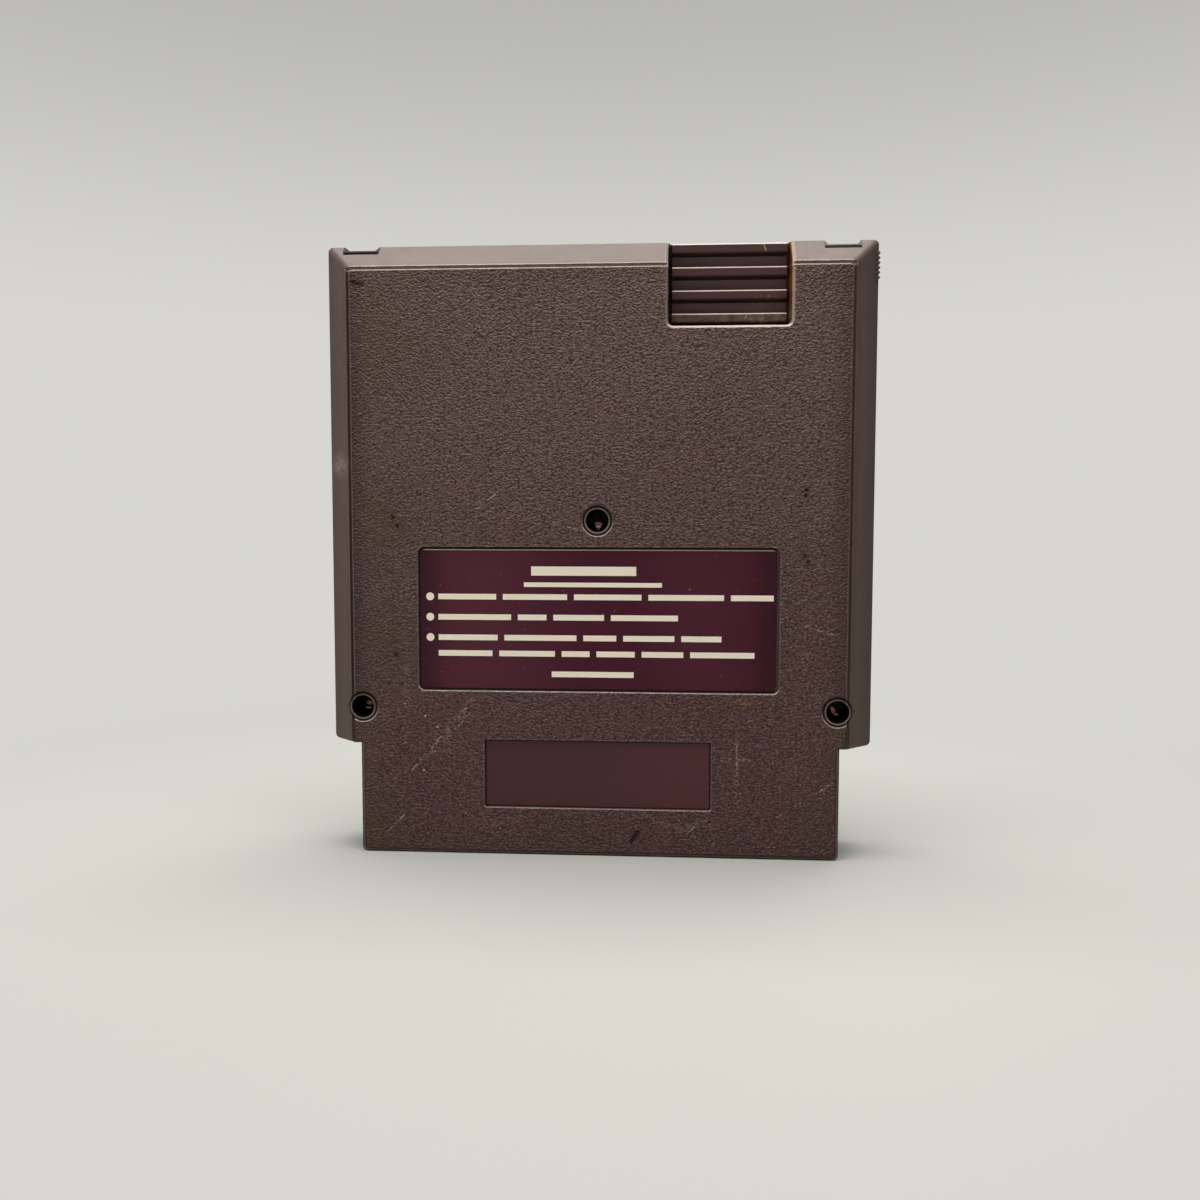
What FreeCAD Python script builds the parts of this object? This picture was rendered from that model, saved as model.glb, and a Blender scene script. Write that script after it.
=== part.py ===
import FreeCAD, Part
import math
import os
import re
import Sketcher

# Game cartridge: two moulded half shells held by three screws, a recessed sticker on the rear,
# and a circuit board whose edge contacts face the open lower end.
# Frame: X to the right seen from the rear, Y from the rear face to the front, Z up.
# The origin is under the middle of the lower end, which the cartridge stands on.

# Driving dimensions in millimetres (counts are plain numbers).
SIZES = {
    # case
    "case_width": 120.0,
    "case_height": 134.1,
    "case_depth": 17.0,
    "rear_depth": 9.0,
    "shoulder_width": 7.25,
    "shoulder_height": 24.6,
    "wall": 2.0,
    "corner_round": 1.1,
    "bevel": 5.3,
    "front_edge_round": 0.8,
    # rear panel
    "panel_groove": 0.5,
    "panel_groove_depth": 0.45,
    "panel_edge_bevel": 0.25,
    "plate_width": 49.9,
    "plate_height": 15.1,
    "plate_bottom": 10.65,
    "plate_sink": 0.5,
    "label_width": 79.0,
    "label_height": 31.7,
    "label_bottom": 36.65,
    "label_sink": 0.5,
    "label_round": 1.4,
    "sticker_gap": 0.55,
    "sticker_thickness": 0.15,
    # finger pocket
    "pocket_left": 15.0,
    "pocket_width": 26.4,
    "pocket_height": 18.5,
    "pocket_floor": 1.6,
    "pocket_wall": 1.5,
    "pocket_round": 1.3,
    "pocket_rim": 0.45,
    "pocket_draft": 3.0,
    "rib_pitch": 4.95,
    "rib_height": 2.1,
    "rib_proud": 2.4,
    "rib_round": 0.4,
    "rib_end_gap": 0.4,
    "rib_top_gap": 0.3,
    # screws and their wells
    "side_screw_inset": 7.8,
    "side_screw_rise": 8.2,
    "centre_screw_gap": 5.75,
    "well_diameter": 4.8,
    "well_depth": 9.6,
    "well_floor": 1.5,
    "well_ring": 0.4,
    "well_ring_groove": 0.5,
    "boss_wall": 1.4,
    "boss_gap": 0.1,
    "screw_diameter": 2.6,
    "screw_clearance": 0.25,
    "pilot_clearance": 0.15,
    "screw_front_cover": 2.0,
    "pilot_over_depth": 0.4,
    "head_clearance": 0.2,
    "flange_thickness": 0.6,
    "head_height": 1.9,
    "head_step": 0.25,
    "head_notch_diameter": 0.9,
    "head_notch_count": 6,
    # top latches, side tongues and side ridges
    "latch_inset": 7.7,
    "latch_width": 7.8,
    "latch_slope": 0.8,
    "latch_drop": 1.0,
    "latch_ledge_drop": 2.0,
    "latch_ledge_step": 0.7,
    "hook_width": 6.0,
    "hook_thickness": 1.6,
    "hook_reach": 2.0,
    "lap_gap": 0.15,
    "tongue_height": 1.0,
    "tongue_end_gap": 16.0,
    "ridge_pitch": 1.03,
    "ridge_width": 0.62,
    "ridge_count": 6,
    "ridge_top_gap": 2.6,
    "ridge_proud": 0.25,
    "ridge_reach": 0.8,
    "ridge_front_gap": 2.5,
    # front face
    "front_label_left": 27.0,
    "front_label_right": 53.5,
    "front_label_bottom": 42.0,
    "front_label_sink": 0.4,
    "front_label_round": 1.4,
    "top_label_depth": 6.5,
    "grip_gap": 4.0,
    "grip_pitch": 6.0,
    "grip_height": 1.4,
    "grip_depth": 0.6,
    # circuit board
    "mouth_cheek": 3.25,
    "mouth_clearance": 2.0,
    "board_depth": 7.9,
    "board_thickness": 1.2,
    "board_side_gap": 1.75,
    "board_bottom": 4.0,
    "board_step_gap": 5.0,
    "board_margin": 1.6,
    "board_clearance": 0.4,
    "tongue_corner": 1.0,
    "contact_pitch": 2.5,
    "contact_width": 1.7,
    "contact_length": 11.0,
    "contact_lift": 0.4,
    "contact_thickness": 0.1,
    "contact_margin": 0.5,
    "post_diameter": 6.0,
    "post_inset": 5.0,
    "post_rise": 5.0,
    "peg_diameter": 3.4,
    "peg_clearance": 0.2,
    "peg_reach": 1.6,
    # packaged chips
    "pin_pitch": 2.54,
    "pin_width": 0.5,
    "pin_thickness": 0.3,
    "pin_tail": 1.2,
    "pin_hole_width": 0.8,
    "chip_thickness": 3.8,
    "chip_standoff": 0.4,
    "chip_end": 0.9,
    "chip_draft": 6.0,
    "chip_notch_diameter": 2.4,
    "chip_notch_depth": 0.5,
    "wide_pin_count": 14,
    "wide_row_spacing": 15.24,
    "narrow_pin_count": 8,
    "narrow_row_spacing": 7.62,
    "row_overhang": 0.75,
    "chip_gap": 4.0,
    "program_chip_x": 20.0,
    "graphics_chip_x": 12.0,
    "lockout_chip_inset": 16.0,
    # small capacitors
    "bead_x": 4.0,
    "bead_diameter": 2.4,
    "bead_length": 4.2,
    "bead_span": 7.62,
    "bead_spacing": 13.0,
    "lead_diameter": 0.5,
    "lead_tail": 1.0,
    "lead_bend": 0.7,
    "can_inset": 12.0,
    "can_diameter": 5.0,
    "can_length": 11.0,
    "can_top_gap": 6.0,
    "can_sleeve": 0.15,
    "can_bung": 1.5,
    "can_lead_span": 2.0,
    "can_lead_run": 1.6,
    "seat_gap": 0.1,
}

# Places and sizes that follow from the driving dimensions, each written once.
FORMULAS = {
    "half_width": "case_width / 2",
    "half_tail": "half_width - shoulder_width",
    "rear_face": "-case_depth / 2",
    "front_face": "case_depth / 2",
    "parting": "rear_face + rear_depth",
    "rear_inside": "rear_face + wall",
    "front_inside": "front_face - wall",
    "bevel_start": "rear_face + bevel",
    "inner_bevel_shift": "wall * (sqrt(2) - 1)",
    "panel_top": "case_height - bevel - panel_groove",
    "panel_half": "half_width - bevel - panel_groove",
    "past_case": "case_height + wall",
    "label_top": "label_bottom + label_height",
    "pocket_right": "pocket_left + pocket_width",
    "pocket_bottom": "case_height - pocket_height",
    "pocket_depth": "rear_depth - pocket_floor",
    "pocket_floor_plane": "rear_face + pocket_depth",
    "pocket_inset": "pocket_depth * tan(pocket_draft)",
    "pocket_flare": "pocket_rim + bevel * tan(pocket_draft)",
    "rib_top": "case_height - rib_top_gap",
    "rib_count": "floor((pocket_height - rib_top_gap - rib_height - pocket_inset) / rib_pitch) + 1",
    "side_screw_x": "half_width - side_screw_inset",
    "side_screw_z": "shoulder_height + side_screw_rise",
    "centre_screw_z": "label_top + centre_screw_gap",
    "well_radius": "well_diameter / 2",
    "ring_radius": "well_radius + well_ring",
    "dimple_radius": "ring_radius + well_ring_groove",
    "boss_radius": "well_radius + boss_wall",
    "head_seat": "rear_face + well_depth",
    "boss_end": "head_seat + well_floor",
    "screw_length": "case_depth - well_depth - screw_front_cover",
    "latch_x": "half_width - latch_inset",
    "ridge_top": "case_height - ridge_top_gap",
    "half_mouth": "half_tail - wall - mouth_cheek",
    "half_tongue": "half_mouth - mouth_clearance",
    "half_board": "half_tail - wall - board_side_gap",
    "board_rear": "rear_face + board_depth",
    "board_front": "board_rear + board_thickness",
    "board_step": "board_bottom + contact_length + board_step_gap",
    "contact_count": "floor((2 * half_tongue - 2 * contact_margin) / contact_pitch + 0.001)",
    "wide_chip_length": "wide_pin_count * pin_pitch + chip_end",
    "narrow_chip_length": "narrow_pin_count * pin_pitch + chip_end",
    "chip_bottom": "board_bottom + contact_length + chip_gap",
    "board_top": "chip_bottom + wide_chip_length + board_margin",
    "chip_plane": "board_rear - chip_standoff - chip_thickness / 2",
    "post_x": "half_board - post_inset",
    "post_low": "board_step + post_rise",
    "post_high": "board_top - post_rise",
    "lockout_chip_x": "half_board - lockout_chip_inset",
    "lockout_chip_bottom": "board_top - board_margin - narrow_chip_length",
    "bead_plane": "board_rear - seat_gap - bead_diameter / 2",
    "bead_low": "chip_bottom + wide_chip_length / 2 - bead_spacing / 2",
    "can_x": "half_board - can_inset",
    "can_outer_radius": "can_diameter / 2 + can_sleeve",
    "can_plane": "board_rear - seat_gap - can_outer_radius",
    "can_top": "board_top - can_top_gap",
    "can_bottom": "can_top - can_length",
}

doc = FreeCAD.newDocument("cartridge")
sheet = doc.addObject("Spreadsheet::Sheet", "dims")
for row, (alias, size) in enumerate(SIZES.items(), 1):
    sheet.set(f"A{row}", alias)
    sheet.set(f"B{row}", str(size))
    sheet.setAlias(f"B{row}", alias)
doc.recompute()


def formula(text):
    """An expression over the sheet's cells for a text that names sizes and formulas."""

    def replace(match):
        word = match.group(0)
        if word in SIZES:
            return f"dims.{word}"
        if word in FORMULAS:
            return f"({formula(FORMULAS[word])})"
        return word

    return re.sub(r"[a-z_]+", replace, text)


def value(text):
    return float(sheet.evalExpression(formula(text)))


def bind(item, prop, text):
    item.setExpression(prop, formula(text))


def new_body(label):
    body = doc.addObject("PartDesign::Body", label)
    body.Label = label
    return body


def origin(body, role):
    return next(feature for feature in body.Origin.OriginFeatures if feature.Role == role)


def new_sketch(body, name, plane, level):
    """A sketch parallel to an origin plane, at the coordinate `level` on the axis across that plane."""
    sketch = body.newObject("Sketcher::SketchObject", name)
    sketch.AttachmentSupport = [(origin(body, plane), "")]
    sketch.MapMode = "FlatFace"
    # The XZ plane faces -Y, the other two face along their axes.
    bind(sketch, ".AttachmentOffset.Base.z", f"-({level})" if plane == "XZ_Plane" else level)
    return sketch


def constrain(sketch, *terms, text=None):
    index = sketch.addConstraint(Sketcher.Constraint(*terms))
    if text is not None:
        bind(sketch, f"Constraints[{index}]", text)


def place_point(sketch, edge, end, across, along):
    for kind, text in (("DistanceX", across), ("DistanceY", along)):
        constrain(sketch, kind, -1, 1, edge, end, value(text), text=text)


def circle(sketch, across, along, radius):
    centre = FreeCAD.Vector(value(across), value(along), 0)
    edge = sketch.addGeometry(Part.Circle(centre, FreeCAD.Vector(0, 0, 1), value(radius)), False)
    constrain(sketch, "Radius", edge, value(radius), text=radius)
    place_point(sketch, edge, 3, across, along)


def polygon(sketch, corners):
    """A closed outline of straight edges through corners given as pairs of formulas."""
    first = sketch.GeometryCount
    points = [FreeCAD.Vector(value(across), value(along), 0) for across, along in corners]
    for start, end in zip(points, points[1:] + points[:1]):
        sketch.addGeometry(Part.LineSegment(start, end), False)
    for index, (across, along) in enumerate(corners):
        previous = first + (index - 1) % len(corners)
        constrain(sketch, "Coincident", previous, 2, first + index, 1)
        place_point(sketch, first + index, 1, across, along)


def square_outline(sketch, levels, rounds=None):
    """A closed outline of level and upright edges in turn, counterclockwise from a level edge.

    levels gives each edge's height or sideways place, rounds the radius of the corner after an edge.
    """
    rounds = rounds or {}
    count = len(levels)
    numbers = [value(level) for level in levels]

    def corner(index):
        here, after = numbers[index % count], numbers[(index + 1) % count]
        return FreeCAD.Vector(after, here, 0) if index % 2 == 0 else FreeCAD.Vector(here, after, 0)

    def trimmed(index, towards):
        radius = value(rounds[index % count]) if index % count in rounds else 0
        step = corner(towards) - corner(index)
        return corner(index) + step.normalize() * radius

    first = sketch.GeometryCount
    for index, level in enumerate(levels):
        start, end = trimmed(index - 1, index), trimmed(index, index - 1)
        edge = sketch.addGeometry(Part.LineSegment(start, end), False)
        level_edge = index % 2 == 0
        constrain(sketch, "Horizontal" if level_edge else "Vertical", edge)
        kind = "DistanceY" if level_edge else "DistanceX"
        constrain(sketch, kind, -1, 1, edge, 1, numbers[index], text=level)
    for index in range(count):
        here, after = first + index, first + (index + 1) % count
        if index not in rounds:
            constrain(sketch, "Coincident", here, 2, after, 1)
            continue
        start, end = trimmed(index, index - 1), trimmed(index, index + 1)
        centre = start + end - corner(index)
        inwards = (start - corner(index)).cross(end - corner(index)).z < 0
        head, tail = (start, end) if inwards else (end, start)
        angles = [FreeCAD.Vector(1, 0, 0).getAngle(p - centre) * (1 if p.y >= centre.y else -1) for p in (head, tail)]
        ring = Part.Circle(centre, FreeCAD.Vector(0, 0, 1), value(rounds[index]))
        arc = sketch.addGeometry(Part.ArcOfCircle(ring, *angles), False)
        constrain(sketch, "Tangent", here, 2, arc, 1 if inwards else 2)
        constrain(sketch, "Tangent", arc, 2 if inwards else 1, after, 1)
        constrain(sketch, "Radius", arc, value(rounds[index]), text=rounds[index])


def rectangle(sketch, left, right, bottom, top, rounds=None):
    square_outline(sketch, [bottom, right, top, left], rounds)


ALL_CORNERS = range(4)


def settle(body, feature, before, grows):
    """Recompute and make sure that a feature really added or removed material."""
    body.Tip = feature
    doc.recompute()
    if "Invalid" in feature.State or "Error" in feature.State or feature.Shape.isNull():
        raise RuntimeError(f"{body.Label}.{feature.Name} failed: {feature.State}")
    change = feature.Shape.Volume - before
    if change * (1 if grows else -1) <= 0:
        raise RuntimeError(f"{body.Label}.{feature.Name} changed the volume by {change}")
    return feature


def volume(body):
    return body.Shape.Volume if body.Tip and not body.Shape.isNull() else 0.0


def extrude(body, kind, sketch, length, forward, draft=None):
    """Pad or Pocket a sketch by a length, forward along its axis (+X, +Y or +Z) or back."""
    before = volume(body)
    feature = body.newObject(f"PartDesign::{kind}", f"{sketch.Name}_{kind.lower()}")
    feature.Profile = sketch
    bind(feature, "Length", length)
    faces_back = sketch.AttachmentSupport[0][0].Role == "XZ_Plane"
    along_normal = forward != faces_back
    feature.Reversed = along_normal if kind == "Pocket" else not along_normal
    if draft is not None:
        bind(feature, "TaperAngle", draft)
    return settle(body, feature, before, kind == "Pad")


def pad(body, sketch, length, forward, draft=None):
    return extrude(body, "Pad", sketch, length, forward, draft)


def pocket(body, sketch, length, forward, draft=None):
    return extrude(body, "Pocket", sketch, length, forward, draft)


def loft(body, kind, first, second):
    before = volume(body)
    feature = body.newObject(f"PartDesign::{kind}", f"{first.Name}_loft")
    feature.Profile = first
    feature.Sections = [second]
    feature.Ruled = True
    return settle(body, feature, before, kind == "AdditiveLoft")


def row_of(body, originals, axis, spacing, count, backwards=False):
    """Repeat features along an axis; the count follows from the sizes."""
    before = volume(body)
    feature = body.newObject("PartDesign::LinearPattern", f"{originals[0].Name}_row")
    feature.Originals = originals
    feature.Direction = (origin(body, axis), [""])
    feature.Reversed = backwards
    feature.Mode = "Spacing"
    bind(feature, "Offset", spacing)
    bind(feature, "Occurrences", count)
    return settle(body, feature, before, originals[0].TypeId == "PartDesign::Pad")


def revolve(body, sketch, axis):
    before = volume(body)
    feature = body.newObject("PartDesign::Revolution", f"{sketch.Name}_turned")
    feature.Profile = sketch
    feature.ReferenceAxis = (origin(body, axis), [""])
    feature.Angle = 360
    return settle(body, feature, before, True)


def ease_edges(body, base, names, kind, size):
    """Round the named edges with a Fillet, or flatten them with a Chamfer."""
    feature = body.newObject(f"PartDesign::{kind}", f"{base.Name}_{kind.lower()}")
    feature.Base = (base, names)
    bind(feature, "Radius" if kind == "Fillet" else "Size", size)
    return settle(body, feature, base.Shape.Volume, False)


def edges_where(shape, test):
    """Names of the edges whose two ends and middle all pass a test."""

    def passes(edge):
        low, high = edge.ParameterRange
        return all(test(edge.valueAt(at)) for at in (low, (low + high) / 2, high))

    return [f"Edge{index}" for index, edge in enumerate(shape.Edges, 1) if passes(edge)]


def case_outline(sketch, inset, side_inset=None, top_inset=None, bottom="0", rounded=True):
    """The cartridge's outline seen from the rear, moved in by an inset."""
    side = f"half_width - ({side_inset or inset})"
    tail = f"half_tail - ({inset})"
    top = f"case_height - ({top_inset or inset})"
    shoulder = f"shoulder_height + ({inset})"
    levels = [bottom, tail, shoulder, side, top, f"-({side})", shoulder, f"-({tail})"]
    outer_corners = (0, 2, 3, 4, 5, 7)
    square_outline(sketch, levels, dict.fromkeys(outer_corners, "corner_round") if rounded else None)


SCREW_PLACES = (("0", "centre_screw_z"), ("-side_screw_x", "side_screw_z"), ("side_screw_x", "side_screw_z"))
PEG_PLACES = (("-post_x", "post_low"), ("post_x", "post_low"))
POST_PLACES = PEG_PLACES + (("-post_x", "post_high"), ("post_x", "post_high"))


def many_sided(sketch, across, along, radius, sides):
    """A regular outline of straight sides, with its corners on a circle."""
    turns = [360 * side / sides for side in range(sides)]
    polygon(sketch, [(f"{across} + ({radius}) * cos({turn})", f"{along} + ({radius}) * sin({turn})") for turn in turns])


def discs(body, name, level, places, radius, inner_radius=None):
    """A sketch of equal circles, or rings, at the given places, seen from the rear."""
    sketch = new_sketch(body, name, "XZ_Plane", level)
    for across, along in places:
        circle(sketch, across, along, radius)
        if inner_radius:
            circle(sketch, across, along, inner_radius)
    return sketch


def inner_discs(body, name, level, places, radius):
    """A sketch of equal discs hidden inside the case, twelve-sided to take few facets."""
    sketch = new_sketch(body, name, "XZ_Plane", level)
    for across, along in places:
        many_sided(sketch, across, along, radius, 12)
    return sketch


def pin_holes(body, name, places):
    """The board's small holes for pins and leads, square to take few facets."""
    sketch = new_sketch(body, name, "XZ_Plane", "board_rear")
    half = "pin_hole_width / 2"
    for across, along in places:
        rectangle(sketch, f"{across} - {half}", f"{across} + {half}", f"{along} - {half}", f"{along} + {half}")
    return pocket(body, sketch, "board_thickness", True)


def connector_mouth(body, near, far):
    """The opening in the lower wall that the board's contacts are reached through."""
    mouth = new_sketch(body, "mouth", "XY_Plane", "0")
    rectangle(mouth, "-half_mouth", "half_mouth", near, far)
    pocket(body, mouth, "wall", True)


def side_ridges(body, start, end):
    """Fine level ridges across one side wall near the top."""
    ridges = new_sketch(body, "side_ridge", "XZ_Plane", start)
    inside, outside, bottom = "half_width - ridge_reach", "half_width + ridge_proud", "ridge_top - ridge_width"
    polygon(ridges, [(inside, bottom), ("half_width", bottom), (outside, f"{bottom} + ridge_proud"),
                     (outside, "ridge_top - ridge_proud"), ("half_width", "ridge_top"), (inside, "ridge_top")])
    ridge = pad(body, ridges, f"({end}) - ({start})", True)
    row_of(body, [ridge], "Z_Axis", "ridge_pitch", "ridge_count", backwards=True)


def pocket_rims(body):
    """The flared rim of the finger pocket, first on the panel and then on the top bevel."""
    left, right = "pocket_left - pocket_rim", "pocket_right + pocket_rim"
    panel_rim = new_sketch(body, "panel_rim", "XZ_Plane", "rear_face")
    rectangle(panel_rim, left, right, "pocket_bottom - pocket_rim", "past_case",
              dict.fromkeys((0, 3), "pocket_round + pocket_rim"))
    bevel_rim = new_sketch(body, "bevel_rim", "XZ_Plane", "rear_face")
    # This sketch is tipped back onto the bevel, with its origin on the bevel's lower edge.
    bevel_rim.AttachmentOffset = FreeCAD.Placement(FreeCAD.Vector(), FreeCAD.Rotation(FreeCAD.Vector(1, 0, 0), -45))
    bind(bevel_rim, ".AttachmentOffset.Base.y", "case_height - bevel")
    bind(bevel_rim, ".AttachmentOffset.Base.z", "-rear_face")
    rectangle(bevel_rim, left, right, "-bevel", "2 * bevel")
    for rim in (panel_rim, bevel_rim):
        pocket(body, rim, "pocket_flare", True, draft="-45")


def rear_shell():
    body = new_body("rear_shell")

    # Straight walls from the parting plane, then the wide bevel with rounded mitres.
    walls = new_sketch(body, "outer_wall", "XZ_Plane", "parting")
    case_outline(walls, "0")
    pad(body, walls, "rear_depth - bevel", False)
    bevel_foot = new_sketch(body, "bevel_foot", "XZ_Plane", "bevel_start")
    case_outline(bevel_foot, "0")
    bevel_crest = new_sketch(body, "bevel_crest", "XZ_Plane", "rear_face")
    case_outline(bevel_crest, "0", side_inset="bevel", top_inset="bevel")
    loft(body, "AdditiveLoft", bevel_foot, bevel_crest)

    # The hollow, with an even wall behind the bevel.
    inner_walls = new_sketch(body, "inner_wall", "XZ_Plane", "parting")
    case_outline(inner_walls, "wall", bottom="wall", rounded=False)
    pocket(body, inner_walls, "rear_depth - bevel - inner_bevel_shift", False)
    inner_foot = new_sketch(body, "inner_bevel_foot", "XZ_Plane", "bevel_start + inner_bevel_shift")
    case_outline(inner_foot, "wall", bottom="wall", rounded=False)
    inner_crest = new_sketch(body, "inner_bevel_crest", "XZ_Plane", "rear_inside")
    crest_inset = "bevel + inner_bevel_shift"
    case_outline(inner_crest, "wall", crest_inset, crest_inset, bottom="wall", rounded=False)
    loft(body, "SubtractiveLoft", inner_foot, inner_crest)
    connector_mouth(body, "rear_inside", "parting")

    # A narrow groove sets the panel off from the bevels and steps it in along the lower end.
    groove = new_sketch(body, "panel_groove", "XZ_Plane", "rear_face")
    rectangle(groove, "-(half_width - bevel)", "half_width - bevel", "-wall", "case_height - bevel")
    case_outline(groove, "panel_groove", "bevel + panel_groove", "bevel + panel_groove", "panel_groove")
    pocket(body, groove, "panel_groove_depth", True)
    dimples = discs(body, "screw_dimple", "rear_face", SCREW_PLACES, "dimple_radius")
    dimple = pocket(body, dimples, "panel_groove_depth", True)
    rear, half, top = value("rear_face"), value("panel_half") + 0.01, value("panel_top") + 0.01
    rim = edges_where(dimple.Shape, lambda p: abs(p.y - rear) < 1e-4 and abs(p.x) < half and p.z < top)
    ease_edges(body, dimple, rim, "Chamfer", "panel_edge_bevel")

    # Sunken places for the sticker and for the plain plate below it.
    label = new_sketch(body, "label_recess", "XZ_Plane", "rear_face")
    rectangle(label, "-label_width / 2", "label_width / 2", "label_bottom", "label_top",
              dict.fromkeys(ALL_CORNERS, "label_round"))
    pocket(body, label, "label_sink", True)
    plate = new_sketch(body, "plate_recess", "XZ_Plane", "rear_face")
    rectangle(plate, "-plate_width / 2", "plate_width / 2", "plate_bottom", "plate_bottom + plate_height")
    pocket(body, plate, "plate_sink", True)

    # Finger pocket: a walled box behind the panel, hollowed from the rear and open at the top.
    box = new_sketch(body, "pocket_box", "YZ_Plane", "pocket_left - pocket_wall")
    behind_bevel = "case_height - bevel - wall * (sqrt(2) - 1) / 2"
    box_rear, box_front = "rear_face + wall / 2", "pocket_floor_plane + pocket_wall"
    box_bottom, box_top = "pocket_bottom - pocket_wall", "case_height - wall / 2"
    polygon(box, [(box_rear, box_bottom), (box_front, box_bottom), (box_front, box_top),
                  ("bevel_start + wall * (sqrt(2) - 1) / 2", box_top), (box_rear, behind_bevel)])
    pad(body, box, "pocket_width + 2 * pocket_wall", True)
    finger = new_sketch(body, "finger_pocket", "XZ_Plane", "rear_face")
    rectangle(finger, "pocket_left", "pocket_right", "pocket_bottom", "past_case + pocket_inset",
              {0: "pocket_round", 3: "pocket_round"})
    pocket(body, finger, "pocket_depth", True, draft="-pocket_draft")
    pocket_rims(body)
    rib = new_sketch(body, "grip_rib", "YZ_Plane", "pocket_left + pocket_inset + rib_end_gap")
    rectangle(rib, "pocket_floor_plane - rib_proud", "pocket_floor_plane", "rib_top - rib_height", "rib_top",
              {2: "rib_round", 3: "rib_round"})
    grip_rib = pad(body, rib, "pocket_width - 2 * pocket_inset - 2 * rib_end_gap", True)
    row_of(body, [grip_rib], "Z_Axis", "rib_pitch", "rib_count", backwards=True)

    # Screw wells: a ring in each dimple, a boss inside, and the well with its seat for the head.
    rings = discs(body, "well_ring", "rear_face + panel_groove_depth", SCREW_PLACES, "ring_radius", "well_radius")
    pad(body, rings, "panel_groove_depth", False)
    bosses = inner_discs(body, "screw_boss", "rear_face + wall / 2", SCREW_PLACES, "boss_radius")
    pad(body, bosses, "boss_end - rear_face - wall / 2", True)
    wells = discs(body, "screw_well", "rear_face", SCREW_PLACES, "well_radius")
    pocket(body, wells, "well_depth", True)
    shank_holes = inner_discs(body, "shank_hole", "rear_face", SCREW_PLACES, "screw_diameter / 2 + screw_clearance")
    pocket(body, shank_holes, "boss_end - rear_face", True)

    # Posts that hold the board down, two of them bored for the front shell's pegs.
    posts = inner_discs(body, "board_post", "rear_face + wall / 2", POST_PLACES, "post_diameter / 2")
    pad(body, posts, "board_depth - wall / 2", True)
    peg_holes = inner_discs(body, "peg_hole", "board_rear", PEG_PLACES, "peg_diameter / 2 + peg_clearance")
    pocket(body, peg_holes, "peg_reach + peg_clearance", False)

    # Rebates for the front shell's side tongues.
    rebates = new_sketch(body, "tongue_rebate", "XZ_Plane", "parting")
    for side in ("", "-"):
        edges = [f"{side}(half_width - wall)", f"{side}(half_width - wall / 2)"]
        rectangle(rebates, *(edges if side == "" else edges[::-1]),
                  "shoulder_height + tongue_end_gap - lap_gap", "case_height - tongue_end_gap + lap_gap")
    pocket(body, rebates, "tongue_height + lap_gap", False)

    # Latch notches in the top edge, each over a small ledge on the bevel.
    notches = new_sketch(body, "latch_notch", "XZ_Plane", "parting")
    ledges = new_sketch(body, "latch_ledge", "XZ_Plane", "rear_face")
    for side in ("", "-"):
        inner, outer = f"{side}(latch_x - latch_width / 2)", f"{side}(latch_x + latch_width / 2)"
        inner_foot = f"{side}(latch_x - latch_width / 2 + latch_slope)"
        outer_foot = f"{side}(latch_x + latch_width / 2 - latch_slope)"
        foot = "case_height - latch_drop"
        polygon(notches, [(inner_foot, foot), (outer_foot, foot), (outer, "case_height"),
                          (outer, "past_case"), (inner, "past_case"), (inner, "case_height")])
        ends = [inner, outer] if side == "" else [outer, inner]
        rectangle(ledges, *ends, "case_height - latch_ledge_drop", "past_case")
    pocket(body, notches, "rear_depth", False)
    pocket(body, ledges, "bevel - latch_ledge_drop + latch_ledge_step", True)
    side_ridges(body, "bevel_start - ridge_reach", "parting")
    return body


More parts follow.
